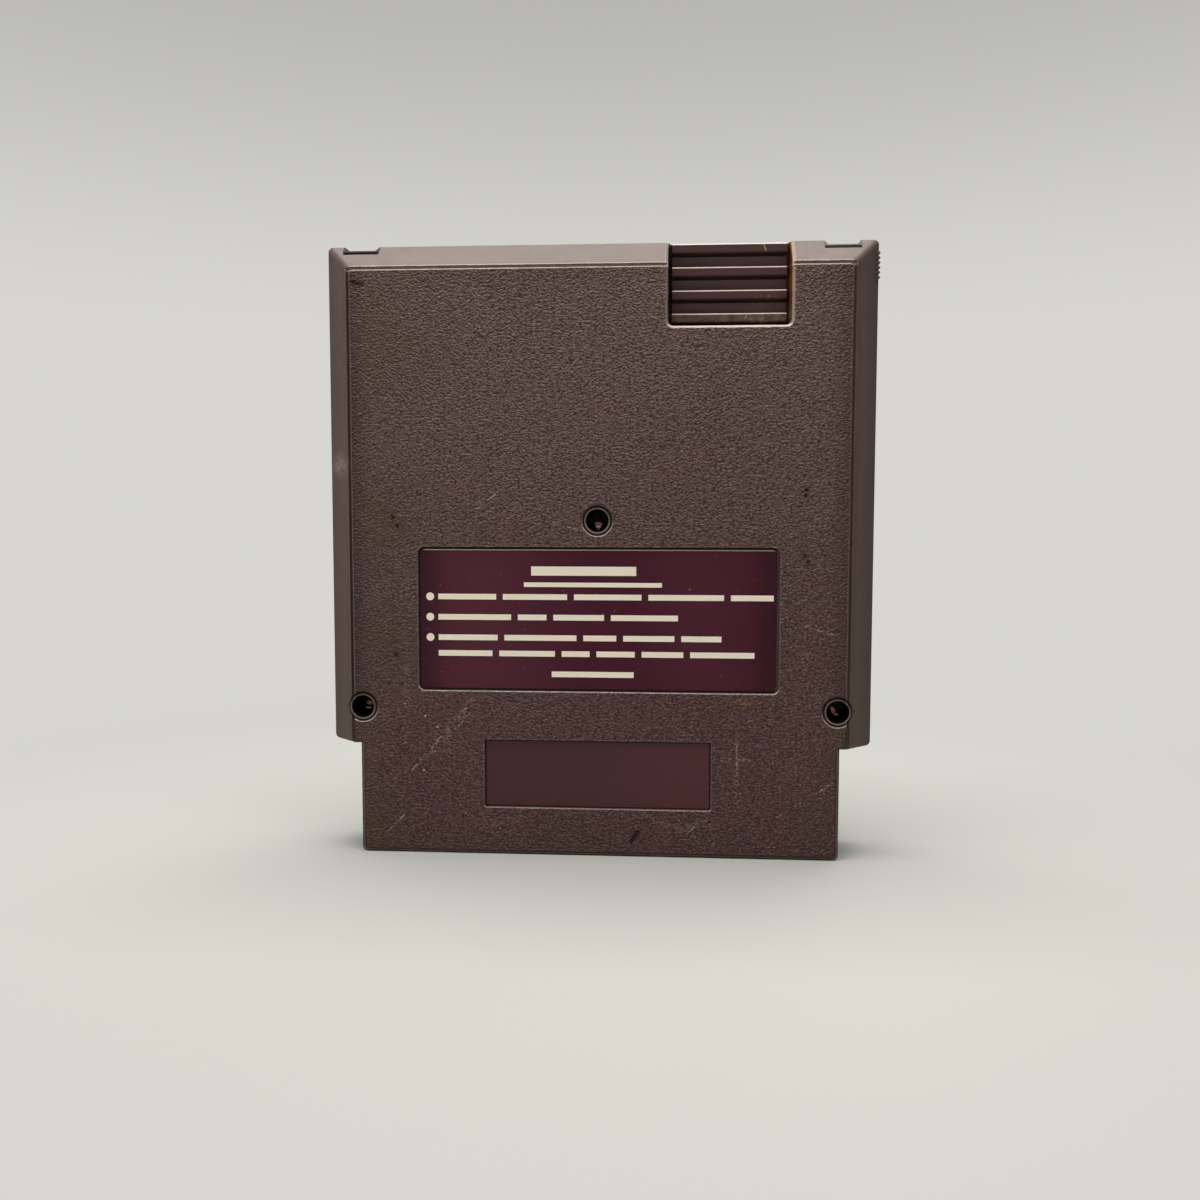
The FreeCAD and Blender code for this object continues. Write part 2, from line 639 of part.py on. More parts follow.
def front_shell():
    body = new_body("front_shell")
    walls = new_sketch(body, "outer_wall", "XZ_Plane", "parting")
    case_outline(walls, "0")
    block = pad(body, walls, "case_depth - rear_depth", True)
    front = value("front_face")
    rim = edges_where(block.Shape, lambda p: abs(p.y - front) < 1e-4)
    ease_edges(body, block, rim, "Fillet", "front_edge_round")
    inner_walls = new_sketch(body, "inner_wall", "XZ_Plane", "parting")
    case_outline(inner_walls, "wall", bottom="wall", rounded=False)
    pocket(body, inner_walls, "case_depth - rear_depth - wall", True)
    connector_mouth(body, "parting", "front_inside")

    # A shallow bare recess for a label that wraps over the top edge.
    label = new_sketch(body, "front_recess", "XZ_Plane", "front_face")
    rectangle(label, "-front_label_right", "front_label_left", "front_label_bottom", "past_case",
              {0: "front_label_round", 3: "front_label_round"})
    pocket(body, label, "front_label_sink", False)
    end_label = new_sketch(body, "top_recess", "XY_Plane", "case_height")
    rectangle(end_label, "-front_label_right", "front_label_left", "front_face - top_label_depth", "front_face + wall",
              {0: "front_label_round", 3: "front_label_round"})
    pocket(body, end_label, "front_label_sink", False)

    # Level grip grooves beside the recess.
    grip = new_sketch(body, "grip_groove", "XZ_Plane", "front_face")
    rectangle(grip, "front_label_left + grip_gap", "half_width - grip_gap",
              "front_label_bottom", "front_label_bottom + grip_height")
    grip_groove = pocket(body, grip, "grip_depth", False)
    grip_count = "floor((case_height - front_label_bottom - grip_gap - grip_height) / grip_pitch) + 1"
    row_of(body, [grip_groove], "Z_Axis", "grip_pitch", grip_count)

    # Screw bosses with pilot holes, and the posts and pegs that carry the board.
    bosses = inner_discs(body, "screw_boss", "boss_end + boss_gap", SCREW_PLACES, "boss_radius")
    pad(body, bosses, "front_inside + wall / 2 - boss_end - boss_gap", True)
    pilots = inner_discs(body, "pilot_hole", "boss_end", SCREW_PLACES, "screw_diameter / 2 + pilot_clearance")
    pocket(body, pilots, "front_face - screw_front_cover + pilot_over_depth - boss_end", True)
    posts = inner_discs(body, "board_post", "board_front", POST_PLACES, "post_diameter / 2")
    pad(body, posts, "front_inside + wall / 2 - board_front", True)
    pegs = inner_discs(body, "board_peg", "board_rear - peg_reach", PEG_PLACES, "peg_diameter / 2")
    pad(body, pegs, "board_thickness + peg_reach + wall / 2", True)

    # Tongues along the sides and hooks under the top edge that keep the shells in line.
    tongues = new_sketch(body, "side_tongue", "XZ_Plane", "parting - tongue_height")
    hooks = new_sketch(body, "latch_hook", "XZ_Plane", "parting - hook_reach")
    for side in ("", "-"):
        edges = [f"{side}(half_width - wall)", f"{side}(half_width - wall / 2 - lap_gap)"]
        rectangle(tongues, *(edges if side == "" else edges[::-1]),
                  "shoulder_height + tongue_end_gap", "case_height - tongue_end_gap")
        ends = [f"{side}(latch_x - hook_width / 2)", f"{side}(latch_x + hook_width / 2)"]
        rectangle(hooks, *(ends if side == "" else ends[::-1]),
                  "case_height - wall - lap_gap - hook_thickness", "case_height - wall - lap_gap")
    pad(body, tongues, "tongue_height + wall / 2", True)
    pad(body, hooks, "front_inside + wall / 2 - parting + hook_reach", True)
    side_ridges(body, "parting", "front_face - ridge_front_gap")
    return body


def rear_label():
    body = new_body("rear_label")
    sticker = new_sketch(body, "sticker", "XZ_Plane", "rear_face + label_sink")
    rectangle(sticker, "-label_width / 2 + sticker_gap", "label_width / 2 - sticker_gap",
              "label_bottom + sticker_gap", "label_top - sticker_gap",
              dict.fromkeys(ALL_CORNERS, "label_round - sticker_gap / 2"))
    pad(body, sticker, "sticker_thickness", False)
    return body


def case_screw(label, across, along):
    """A case screw: a flange, a round head with notches around it for a hollow driver, and a shank."""
    body = new_body(label)
    profile = new_sketch(body, "screw_profile", "XY_Plane", "0")
    flange = "well_radius - head_clearance"
    head = "well_radius - head_clearance - head_step"
    shank = "screw_diameter / 2"
    top = "-(flange_thickness + head_height)"
    polygon(profile, [("0", top), ("0", "screw_length"), (shank, "screw_length"), (shank, "0"), (flange, "0"),
                      (flange, "-flange_thickness"), (head, "-flange_thickness"), (head, top)])
    turned = revolve(body, profile, "Y_Axis")
    notch = new_sketch(body, "driver_notch", "XZ_Plane", top)
    many_sided(notch, "0", head, "head_notch_diameter / 2", 6)
    cut = pocket(body, notch, "head_height", True)
    ring = body.newObject("PartDesign::PolarPattern", "driver_notches")
    ring.Originals = [cut]
    ring.Axis = (origin(body, "Y_Axis"), [""])
    ring.Angle = 360
    bind(ring, "Occurrences", "head_notch_count")
    settle(body, ring, turned.Shape.Volume, False)
    bind(body, ".Placement.Base.x", across)
    bind(body, ".Placement.Base.y", "head_seat")
    bind(body, ".Placement.Base.z", along)
    return body


def case_screws():
    names = ("centre_screw", "left_screw", "right_screw")
    group = doc.addObject("Part::Compound", "case_screws")
    group.Links = [case_screw(name, *place) for name, place in zip(names, SCREW_PLACES)]
    group.Label = "case_screws"
    doc.recompute()
    return group


CHIPS = {
    "program_chip": ("program_chip_x", "chip_bottom", "wide"),
    "graphics_chip": ("-graphics_chip_x", "chip_bottom", "wide"),
    "lockout_chip": ("-lockout_chip_x", "lockout_chip_bottom", "narrow"),
}


def first_pin(bottom):
    return f"{bottom} + (pin_pitch + chip_end) / 2"


def bead_hole_places():
    """Where the small capacitors' leads pass through the board."""
    return [("bead_x", f"bead_low + {index} * bead_spacing {sign} bead_span / 2") for index in (0, 1) for sign in "-+"]


CAN_LEAD_Z = "can_bottom - can_lead_run"
CAN_LEAD_PLACES = (("can_x - can_lead_span / 2", CAN_LEAD_Z), ("can_x + can_lead_span / 2", CAN_LEAD_Z))


def circuit_board():
    body = new_body("circuit_board")
    outline = new_sketch(body, "board_outline", "XZ_Plane", "board_rear")
    corner = "half_tongue - tongue_corner"
    polygon(outline, [(f"-({corner})", "board_bottom"), (corner, "board_bottom"),
                      ("half_tongue", "board_bottom + tongue_corner"), ("half_tongue", "board_step"),
                      ("half_board", "board_step"), ("half_board", "board_top"),
                      ("-half_board", "board_top"), ("-half_board", "board_step"),
                      ("-half_tongue", "board_step"), ("-half_tongue", "board_bottom + tongue_corner")])
    pad(body, outline, "board_thickness", True)
    notches = inner_discs(body, "boss_notch", "board_rear", SCREW_PLACES[1:], "boss_radius + board_clearance")
    pocket(body, notches, "board_thickness", True)
    peg_holes = inner_discs(body, "peg_hole", "board_rear", PEG_PLACES, "peg_diameter / 2 + peg_clearance")
    pocket(body, peg_holes, "board_thickness", True)
    for label, (across, bottom, size) in CHIPS.items():
        rows = [(f"{across} {sign} {size}_row_spacing / 2", first_pin(bottom)) for sign in "-+"]
        drilled = pin_holes(body, f"{label}_hole", rows)
        row_of(body, [drilled], "Z_Axis", "pin_pitch", f"{size}_pin_count")
    pin_holes(body, "lead_hole", [*bead_hole_places(), *CAN_LEAD_PLACES])
    return body


def edge_contacts(label, level, forward):
    body = new_body(label)
    contact = new_sketch(body, "contact", "XZ_Plane", level)
    centre = "-(contact_count - 1) * contact_pitch / 2"
    rectangle(contact, f"{centre} - contact_width / 2", f"{centre} + contact_width / 2",
              "board_bottom + contact_lift", "board_bottom + contact_lift + contact_length")
    finger = pad(body, contact, "contact_thickness", forward)
    row_of(body, [finger], "X_Axis", "contact_pitch", "contact_count")
    return body


def chip_body(label, across, bottom, size):
    body = new_body(label)
    half = f"{size}_row_spacing / 2 - row_overhang"
    length = f"{size}_chip_length"
    for name, forward in (("upper_half", False), ("lower_half", True)):
        moulding = new_sketch(body, name, "XZ_Plane", "chip_plane")
        rectangle(moulding, f"{across} - ({half})", f"{across} + {half}", bottom, f"{bottom} + {length}")
        pad(body, moulding, "chip_thickness / 2", forward, draft="-chip_draft")
    notch = new_sketch(body, "end_notch", "XZ_Plane", "chip_plane - chip_thickness / 2")
    circle(notch, across, f"{bottom} + {length}", "chip_notch_diameter / 2")
    pocket(body, notch, "chip_notch_depth", True)
    return body


def chip_pins(label, across, bottom, size):
    body = new_body(label)
    lowest = first_pin(bottom)
    row, inner = f"{size}_row_spacing / 2", f"({size}_row_spacing / 2 - row_overhang)"
    bent_pins = new_sketch(body, "bent_pin", "XY_Plane", f"{lowest} - pin_width / 2")
    half = "pin_thickness / 2"
    for sign in "-+":
        root, near, far = (f"{across} {sign} {place}" for place in (inner, f"({row} - {half})", f"({row} + {half})"))
        rear, front, tip = f"chip_plane - {half}", f"chip_plane + {half}", "board_front + pin_tail"
        polygon(bent_pins, [(root, rear), (far, rear), (far, tip), (near, tip), (near, front), (root, front)])
    pin_pair = pad(body, bent_pins, "pin_width", True)
    row_of(body, [pin_pair], "Z_Axis", "pin_pitch", f"{size}_pin_count")
    return body


def bead_capacitor(label, index):
    """A small axial capacitor: a plain bead lying just off the board."""
    body = new_body(label)
    bead = new_sketch(body, "bead", "XY_Plane", "-bead_length / 2")
    circle(bead, "0", "0", "bead_diameter / 2")
    pad(body, bead, "bead_length", True)
    bind(body, ".Placement.Base.x", "bead_x")
    bind(body, ".Placement.Base.y", "bead_plane")
    bind(body, ".Placement.Base.z", f"bead_low + {index} * bead_spacing")
    return body


def bent_lead(name, across, start, turn, level):
    """A six-sided wire that leaves a component along Z, bends and drops through the board."""
    lead = doc.addObject("Part::Feature", name)
    x, first, last, height = value(across), value(start), value(turn), value(level)
    bend, radius = value("lead_bend"), value("lead_diameter / 2")
    step = bend if last > first else -bend
    route = [(height, first), (height, last - step), (height + bend, last), (value("board_front + lead_tail"), last)]
    path = Part.makePolygon([FreeCAD.Vector(x, y, z) for y, z in route])
    sides = [math.radians(60 * side) for side in range(7)]
    ring = [FreeCAD.Vector(x + radius * math.cos(a), height + radius * math.sin(a), first) for a in sides]
    sharp_corners = 1
    lead.Shape = path.makePipeShell([Part.makePolygon(ring)], True, True, sharp_corners)
    return lead


def lead_group(label, leads):
    group = doc.addObject("Part::Compound", label)
    group.Links = [bent_lead(f"{label}_{index}", *lead) for index, lead in enumerate(leads)]
    group.Label = label
    doc.recompute()
    return group


def bead_leads():
    leads = []
    for index in (0, 1):
        middle = f"bead_low + {index} * bead_spacing"
        for sign in "-+":
            start, turn = f"{middle} {sign} bead_length / 2", f"{middle} {sign} bead_span / 2"
            leads.append(("bead_x", start, turn, "bead_plane"))
    return lead_group("ceramic_capacitor_leads", leads)


def turned_part(label, corners):
    """A piece of the round capacitor, turned about its own axis, which lies along Z."""
    body = new_body(label)
    profile = new_sketch(body, "profile", "XZ_Plane", "0")
    polygon(profile, corners)
    revolve(body, profile, "Z_Axis")
    bind(body, ".Placement.Base.x", "can_x")
    bind(body, ".Placement.Base.y", "can_plane")
    bind(body, ".Placement.Base.z", "can_bottom")
    return body


def electrolytic_capacitor():
    inner, outer = "can_diameter / 2", "can_outer_radius"
    can = [("0", "can_bung"), (inner, "can_bung"), (inner, "can_length"), ("0", "can_length")]
    sleeve = [(inner, "0"), (outer, "0"), (outer, "can_length"), (inner, "can_length")]
    bung = [("0", "0"), (inner, "0"), (inner, "can_bung"), ("0", "can_bung")]
    leads = [(across, "can_bottom", along, "can_plane") for across, along in CAN_LEAD_PLACES]
    return [
        turned_part("round_capacitor_can", can),
        turned_part("round_capacitor_sleeve", sleeve),
        turned_part("round_capacitor_bung", bung),
        lead_group("round_capacitor_leads", leads),
    ]


nodes = [rear_shell(), front_shell(), rear_label(), case_screws(), circuit_board()]
nodes.append(edge_contacts("rear_contacts", "board_rear", False))
nodes.append(edge_contacts("front_contacts", "board_front", True))
for chip_label, chip in CHIPS.items():
    nodes.append(chip_body(chip_label, *chip))
    nodes.append(chip_pins(f"{chip_label}_pins", *chip))
nodes.append(bead_capacitor("lower_ceramic_capacitor", 0))
nodes.append(bead_capacitor("upper_ceramic_capacitor", 1))
nodes.append(bead_leads())
nodes.extend(electrolytic_capacitor())
doc.recompute()

for item in doc.Objects:
    if "Invalid" in item.State or "Error" in item.State:
        raise RuntimeError(f"{item.Label} failed: {item.State}")
for node in nodes:
    if node.Shape.isNull() or not node.Shape.isValid():
        raise RuntimeError(f"{node.Label} has no valid shape")

os.makedirs("parts", exist_ok=True)
for node in nodes:
    node.Shape.exportStep(f"parts/{node.Label}.step")
    solids = len(node.Shape.Solids)
    print(f"{node.Label}: {solids} solids, {node.Shape.Volume:.1f} mm3")
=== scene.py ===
import math
import random

import bpy
from mathutils import Matrix, Vector


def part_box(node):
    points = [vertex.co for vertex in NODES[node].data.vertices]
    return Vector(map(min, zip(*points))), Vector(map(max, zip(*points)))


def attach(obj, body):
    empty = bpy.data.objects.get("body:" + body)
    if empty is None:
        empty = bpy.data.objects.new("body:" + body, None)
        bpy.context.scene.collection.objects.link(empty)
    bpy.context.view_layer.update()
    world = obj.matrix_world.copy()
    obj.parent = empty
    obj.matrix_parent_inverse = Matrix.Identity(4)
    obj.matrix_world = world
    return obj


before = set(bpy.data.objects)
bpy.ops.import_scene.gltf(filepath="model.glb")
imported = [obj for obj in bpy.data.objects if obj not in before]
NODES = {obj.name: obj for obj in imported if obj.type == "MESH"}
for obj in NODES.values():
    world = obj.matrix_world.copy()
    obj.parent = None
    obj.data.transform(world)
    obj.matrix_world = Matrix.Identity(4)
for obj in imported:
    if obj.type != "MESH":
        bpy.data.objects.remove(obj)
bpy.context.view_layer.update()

bl_info = {
    "name": "Game Cartridge",
    "version": (1, 0, 0),
    "blender": (4, 5, 0),
    "location": "3D View > Sidebar > Cartridge",
    "description": "Finishes a game cartridge: grained case, printed sticker, screws and circuit board",
    "category": "Object",
}

BODY = "root"

# Lengths on the cartridge are in millimetres. MM turns them into metres, which Blender and the stage use.
MM = 0.001

CASE_LOW, CASE_HIGH = (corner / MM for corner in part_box("rear_shell"))
STICKER_LOW, STICKER_HIGH = (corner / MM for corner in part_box("rear_label"))
SCREW_LOW, SCREW_HIGH = (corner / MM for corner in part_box("case_screws"))
REAR_FACE = CASE_LOW.y
CASE_TOP = CASE_HIGH.z
CASE_HALF = -CASE_LOW.x
SCREW_HEAD_RADIUS = 2.2
SIDE_SCREW = SCREW_HIGH.x - SCREW_HEAD_RADIUS
UPPER_SCREW = SCREW_HIGH.z - SCREW_HEAD_RADIUS
LOWER_SCREW = SCREW_LOW.z + SCREW_HEAD_RADIUS

# Places on the moulded rear, from the middle of the lower end. The outlines of the panel and of the lower end
# run on past the stretches where their edges show.
BEVEL_WIDTH = 5.3
BEVEL_FOOT = REAR_FACE + BEVEL_WIDTH
PANEL_GROOVE = 0.5
PANEL_EDGE = BEVEL_WIDTH + PANEL_GROOVE
PANEL_LOW = Vector((PANEL_EDGE - CASE_HALF, 0.0, -20.0))
PANEL_HIGH = Vector((CASE_HALF - PANEL_EDGE, 0.0, CASE_TOP - PANEL_EDGE))
PANEL_ROUND = 0.6
PANEL_STEP = 29.0
SHOULDER = 24.6
SHOULDER_WIDTH = 7.25
FOOT_LOW = Vector((SHOULDER_WIDTH - CASE_HALF, 0.0, 0.0))
FOOT_HIGH = Vector((CASE_HALF - SHOULDER_WIDTH, 0.0, 60.0))
FOOT_ROUND = 0.8
LABEL_GAP = Vector((0.55, 0.0, 0.55))
LABEL_LOW, LABEL_HIGH = STICKER_LOW - LABEL_GAP, STICKER_HIGH + LABEL_GAP
LABEL_ROUND = 1.4
PLATE_LOW = Vector((-24.95, 0.0, 10.65))
PLATE_HIGH = Vector((24.95, 0.0, 25.75))
PLATE_ROUND = 0.3
POCKET_LOW = Vector((15.0, 0.0, CASE_TOP - 18.5))
POCKET_HIGH = Vector((41.4, 0.0, CASE_TOP + 10.0))
POCKET_ROUND = 1.3
POCKET_FLOOR = REAR_FACE + 7.4
POCKET_DUST = Vector((36.0, -2.5, 118.5))
RIB_TOP = CASE_TOP - 0.3
RIB_PITCH = 4.95
RIB_HEIGHT = 2.1
RIB_FACE = POCKET_FLOOR - 2.4
LATCH_MIDDLE = CASE_HALF - 7.7
LATCH_HALF = 4.1
LATCH_LEDGE = REAR_FACE + 4.0
LATCH_LOW = CASE_TOP - 2.0
WELL_RADIUS = 2.4
WELL_RING = 2.8
WELL_DIMPLE = 3.3

# Marks on the rear, each as places across and up.
SCRATCHES = (
    ((-41.3, 18.6), (-28.8, 32.9)),
    ((-37.2, 21.6), (-28.2, 31.6)),
    ((-48.5, 3.0), (-43.0, 8.6)),
    ((20.1, 5.6), (22.3, 7.9)),
    ((39.2, 9.3), (44.8, 13.0)),
    ((48.5, 15.3), (51.2, 17.3)),
    ((30.6, 25.8), (30.7, 17.2)),
    ((28.5, 22.2), (33.9, 22.1)),
    ((28.5, 14.7), (31.6, 14.7)),
    ((-9.8, 73.6), (-3.3, 71.9)),
    ((-27.8, 75.3), (-21.2, 80.7)),
    ((44.5, 51.5), (52.4, 49.2)),
)
FAINT_RUBS = (
    ((-40.0, 19.4), (-29.0, 32.0)),
    ((-42.4, 41.9), (-42.6, 24.2)),
    ((30.4, 27.0), (30.6, 11.0)),
    ((27.5, 22.0), (34.5, 22.0)),
    ((-34.0, 28.0), (-22.0, 40.0)),
    ((10.0, 9.5), (21.5, 5.0)),
    ((17.5, 6.0), (24.0, 8.5)),
    ((-26.0, 5.5), (-17.0, 8.0)),
)
DARK_SPECKS = (
    (-44.9, 74.8),
    (-44.0, 72.9),
    (-44.6, 44.6),
    (44.9, 80.7),
    (44.7, 79.6),
    (45.4, 65.4),
    (44.7, 66.6),
)
DARK_SMEARS = (
    ((7.6, 3.4), (8.9, 5.6)),
    ((-53.4, 125.7), (-51.2, 125.1)),
)
PALE_SPECKS = ((-35.4, 28.4), (-38.2, 30.8), (-38.6, 18.6))
POCKET_HAIRS = (
    ((35.5, 133.7), (36.0, 132.0)),
    ((34.9, 117.0), (36.2, 115.9)),
    ((36.2, 117.2), (35.1, 115.9)),
    ((31.7, 117.8), (32.3, 118.9)),
)
RUST_SPOT = (32.3, 34.4)
BEVEL_SCUFF = (-57.3, 86.3)

# Rust and bare metal on the screw heads, made bright as painted glints, as lines between places across and
# up.
SCREW_RUST_GLINTS = (
    ((-52.80, 32.50), (-52.35, 32.45)),
    ((-0.60, 73.30), (0.18, 73.26)),
    ((51.90, 32.45), (52.25, 31.75)),
)
SCREW_GLINTS = (
    ((-53.40, 31.34), (-52.44, 31.35)),
    ((-0.64, 72.70), (0.12, 72.70)),
    ((-0.45, 72.15), (-0.25, 72.15)),
    ((52.50, 31.13), (53.10, 31.14)),
    ((52.30, 30.45), (52.55, 30.45)),
)

# Brown dirt: its middle, its reach and its strength. Below, the widths of its bands along the edges.
GRIME_PLACES = (
    ((-53.0, 4.0), 16.0, 1.0),
    ((-52.5, 11.0), 9.0, 1.0),
    ((-50.0, 73.0), 20.0, 0.8),
    ((-50.0, 48.0), 18.0, 0.7),
    ((-54.0, 112.0), 28.0, 1.0),
    ((-20.0, 128.0), 14.0, 0.5),
    ((52.0, 126.0), 12.0, 0.9),
    ((50.0, 6.0), 14.0, 0.6),
    ((-8.0, 2.0), 16.0, 0.2),
)
SIDE_GRIME = 7.0
TOP_GRIME = 6.0
LOW_GRIME = 4.0

# Painted highlights on the sticker, left and right: the middle across and the reach to either side.
STICKER_GLOWS = ((-26.0, 26.0), (22.0, 16.0))

# Print on the sticker, from its middle. A bar is given across, up, its length and its height; a row of dashes
# up and its right end.
TITLE_BARS = ((-3.0, 10.6, 23.0, 2.0), (-1.0, 7.6, 30.2, 1.0))
FOOT_BAR = (-1.0, -12.1, 18.0, 1.25)
DASH_ROWS = ((4.9, 38.2), (0.4, 17.6), (-4.1, 29.4), (-7.6, 34.2))
ROW_START = -35.1
DASH_GAP = 1.5
DASH_LENGTHS = (6.0, 17.0)
SHORTEST_DASH = 3.0
DOT_PLACE = -36.9
DOT_COUNT = 3
PRINT_LIFT = 0.01
PRINT_SEED = 5

# Specular level of clean plastic, and of dirt and painted shade.
SHINE = 0.32
DIRT_AND_SHADE_SHINE = 0.05

# How far to either side of the middle the left half's darker colouring goes over into the right half's: the
# painted shade along the panel's sides and the darkening in the latch notches.
MIDDLE_FADE = 5.0

# The stage, in metres. A light has a place, a target and a size.
TOP_LIGHT = ((-0.02, -0.03, 0.56), (-0.02, -0.03, 0.0), (0.50, 0.50))
LEFT_LIGHT = ((-0.62, -0.22, 0.30), (0.0, 0.0, 0.06), (0.40, 0.50))
BACK_LIGHT = ((0.30, 0.50, 0.30), (0.0, 0.0, 0.08), (0.40, 0.50))
LAMP_COLOUR = (1.0, 0.96, 0.91)
ROOM_COLOUR = (0.25, 0.25, 0.24, 1.0)
CAMERA_PLACE = (0.01885, -0.26414, 0.07622)

# Where the lit floor goes over into the far floor, and the lower wall into the upper wall, in millimetres.
FLOOR_FADE = (80.0, 280.0)
WALL_FADE = (250.0, 800.0)


def colour_field(name, description, default):
    return bpy.props.FloatVectorProperty(
        name=name, description=description, default=default, subtype="COLOR", size=3, min=0.0, max=1.0
    )


def length_field(name, description, default):
    return bpy.props.FloatProperty(
        name=name, description=description, default=default * MM, min=0.0, unit="LENGTH", precision=5
    )


def share_field(name, description, default):
    return bpy.props.FloatProperty(
        name=name, description=description, default=default, min=0.0, max=1.0, subtype="FACTOR"
    )


def power_field(name, description, default):
    return bpy.props.FloatProperty(name=name, description=description, default=default, min=0.0, unit="POWER")


class CaseLook(bpy.types.PropertyGroup):
    """Colours and grain of the moulded case."""

    panel: colour_field("Panel", "Grained panel of the rear", (0.113, 0.057, 0.051))
    panel_low: colour_field("Panel low", "Grained panel near its lower end", (0.086, 0.033, 0.033))
    smooth: colour_field("Smooth plastic", "Bevels, sides and front", (0.106, 0.068, 0.059))
    pocket_floor: colour_field("Pocket floor", "Dusty floor of the finger pocket", (0.240, 0.145, 0.150))
    plate: colour_field("Plate", "Polished sunken plate on the rear", (0.062, 0.012, 0.016))
    grime: colour_field("Grime", "Brown dirt in corners and along edges", (0.057, 0.030, 0.012))
    # This dark colour is dirt on the specks and smears, and painted shade in recess margins, screw holes,
    # well grooves and under the pocket's ribs.
    dirt_and_shade: colour_field("Dirt", "Black dirt in deep corners", (0.008, 0.006, 0.005))
    # The dust colour also paints the highlights on the grain's crests.
    dust_and_highlight: colour_field("Dust", "Pale dust, rubbed places and the crests of the grain", (0.270, 0.205, 0.175))
    lint: colour_field("Lint", "Yellowish lint and dirt in the finger pocket", (0.420, 0.320, 0.190))
    # This pale colour paints the highlights on edges, rims, rib edges and well rings, and also colours the
    # scratches and pale specks.
    highlight_and_scratch: colour_field("Rim", "Burnished rims round the sunken places", (0.660, 0.545, 0.510))
    rust_stain: colour_field("Rust stain", "Small rust stains on the panel and pocket", (0.170, 0.060, 0.008))
    grain_size: length_field("Grain size", "Width of one grain of the panel's texture", 0.42)
    grain_depth: length_field("Grain depth", "Depth of the panel's texture, as a bump", 0.80)
    edge_radius: length_field("Edge radius", "Rounding of the moulded edges", 0.22)
    grime_share: share_field("Grime share", "How much of the grime shows", 0.80)
    scratch_share: share_field("Scratch share", "How clearly the scratches show", 0.45)


class StickerLook(bpy.types.PropertyGroup):
    """Colours and printed shapes of the sticker."""

    film: colour_field("Film", "Dark ground of the sticker", (0.056, 0.0075, 0.0205))
    sheen: colour_field("Sheen", "Paler parts of the sticker's ground", (0.086, 0.019, 0.034))
    ink: colour_field("Ink", "Printed shapes", (0.950, 0.870, 0.720))
    dash_height: length_field("Dash height", "Height of a printed dash", 1.25)
    dot_diameter: length_field("Dot diameter", "Width of a printed dot", 1.75)
    ink_thickness: length_field("Ink thickness", "Height of the ink over the film", 0.02)


class BoardLook(bpy.types.PropertyGroup):
    """Colours of the circuit board and its components."""

    mask: colour_field("Solder mask", "Green lacquer of the board", (0.018, 0.110, 0.040))
    track: colour_field("Track", "Lacquer over copper tracks", (0.040, 0.190, 0.070))
    gold: colour_field("Gold", "Plating of the edge contacts", (0.800, 0.540, 0.190))
    tin: colour_field("Tin", "Pins, leads and the round capacitor's can", (0.560, 0.560, 0.540))
    epoxy: colour_field("Epoxy", "Chip bodies and the round capacitor's bung", (0.022, 0.022, 0.025))
    ceramic: colour_field("Ceramic", "Dipped ceramic beads", (0.420, 0.190, 0.055))
    sleeve: colour_field("Sleeve", "Shrink sleeve of the round capacitor", (0.012, 0.018, 0.075))
    steel: colour_field("Steel", "Bare metal of the screws", (0.850, 0.820, 0.780))
    # The rust colour is pale enough to serve as painted glints on the screw heads.
    rust: colour_field("Rust", "Rust on the screws", (0.950, 0.380, 0.300))


class StageLook(bpy.types.PropertyGroup):
    """Backdrop, lights and lens."""

    floor: colour_field("Floor", "Floor round the cartridge", (0.345, 0.356, 0.345))
    wall: colour_field("Wall", "Far floor and lower wall", (0.680, 0.672, 0.635))
    wall_top: colour_field("Wall top", "Upper wall", (0.465, 0.460, 0.442))
    lens: bpy.props.FloatProperty(
        name="Lens", description="Focal length on a 36 mm sensor", default=35.4, min=1.0, unit="CAMERA"
    )
    top_light: power_field("Top light", "Power of the soft box overhead", 7.2)
    left_light: power_field("Left light", "Power of the soft light on the left", 1.0)
    back_light: power_field("Back light", "Power of the soft light on the far side", 1.3)


class CartridgeLook(bpy.types.PropertyGroup):
    """All the settings of the cartridge."""

    case: bpy.props.PointerProperty(type=CaseLook)
    sticker: bpy.props.PointerProperty(type=StickerLook)
    board: bpy.props.PointerProperty(type=BoardLook)
    stage: bpy.props.PointerProperty(type=StageLook)


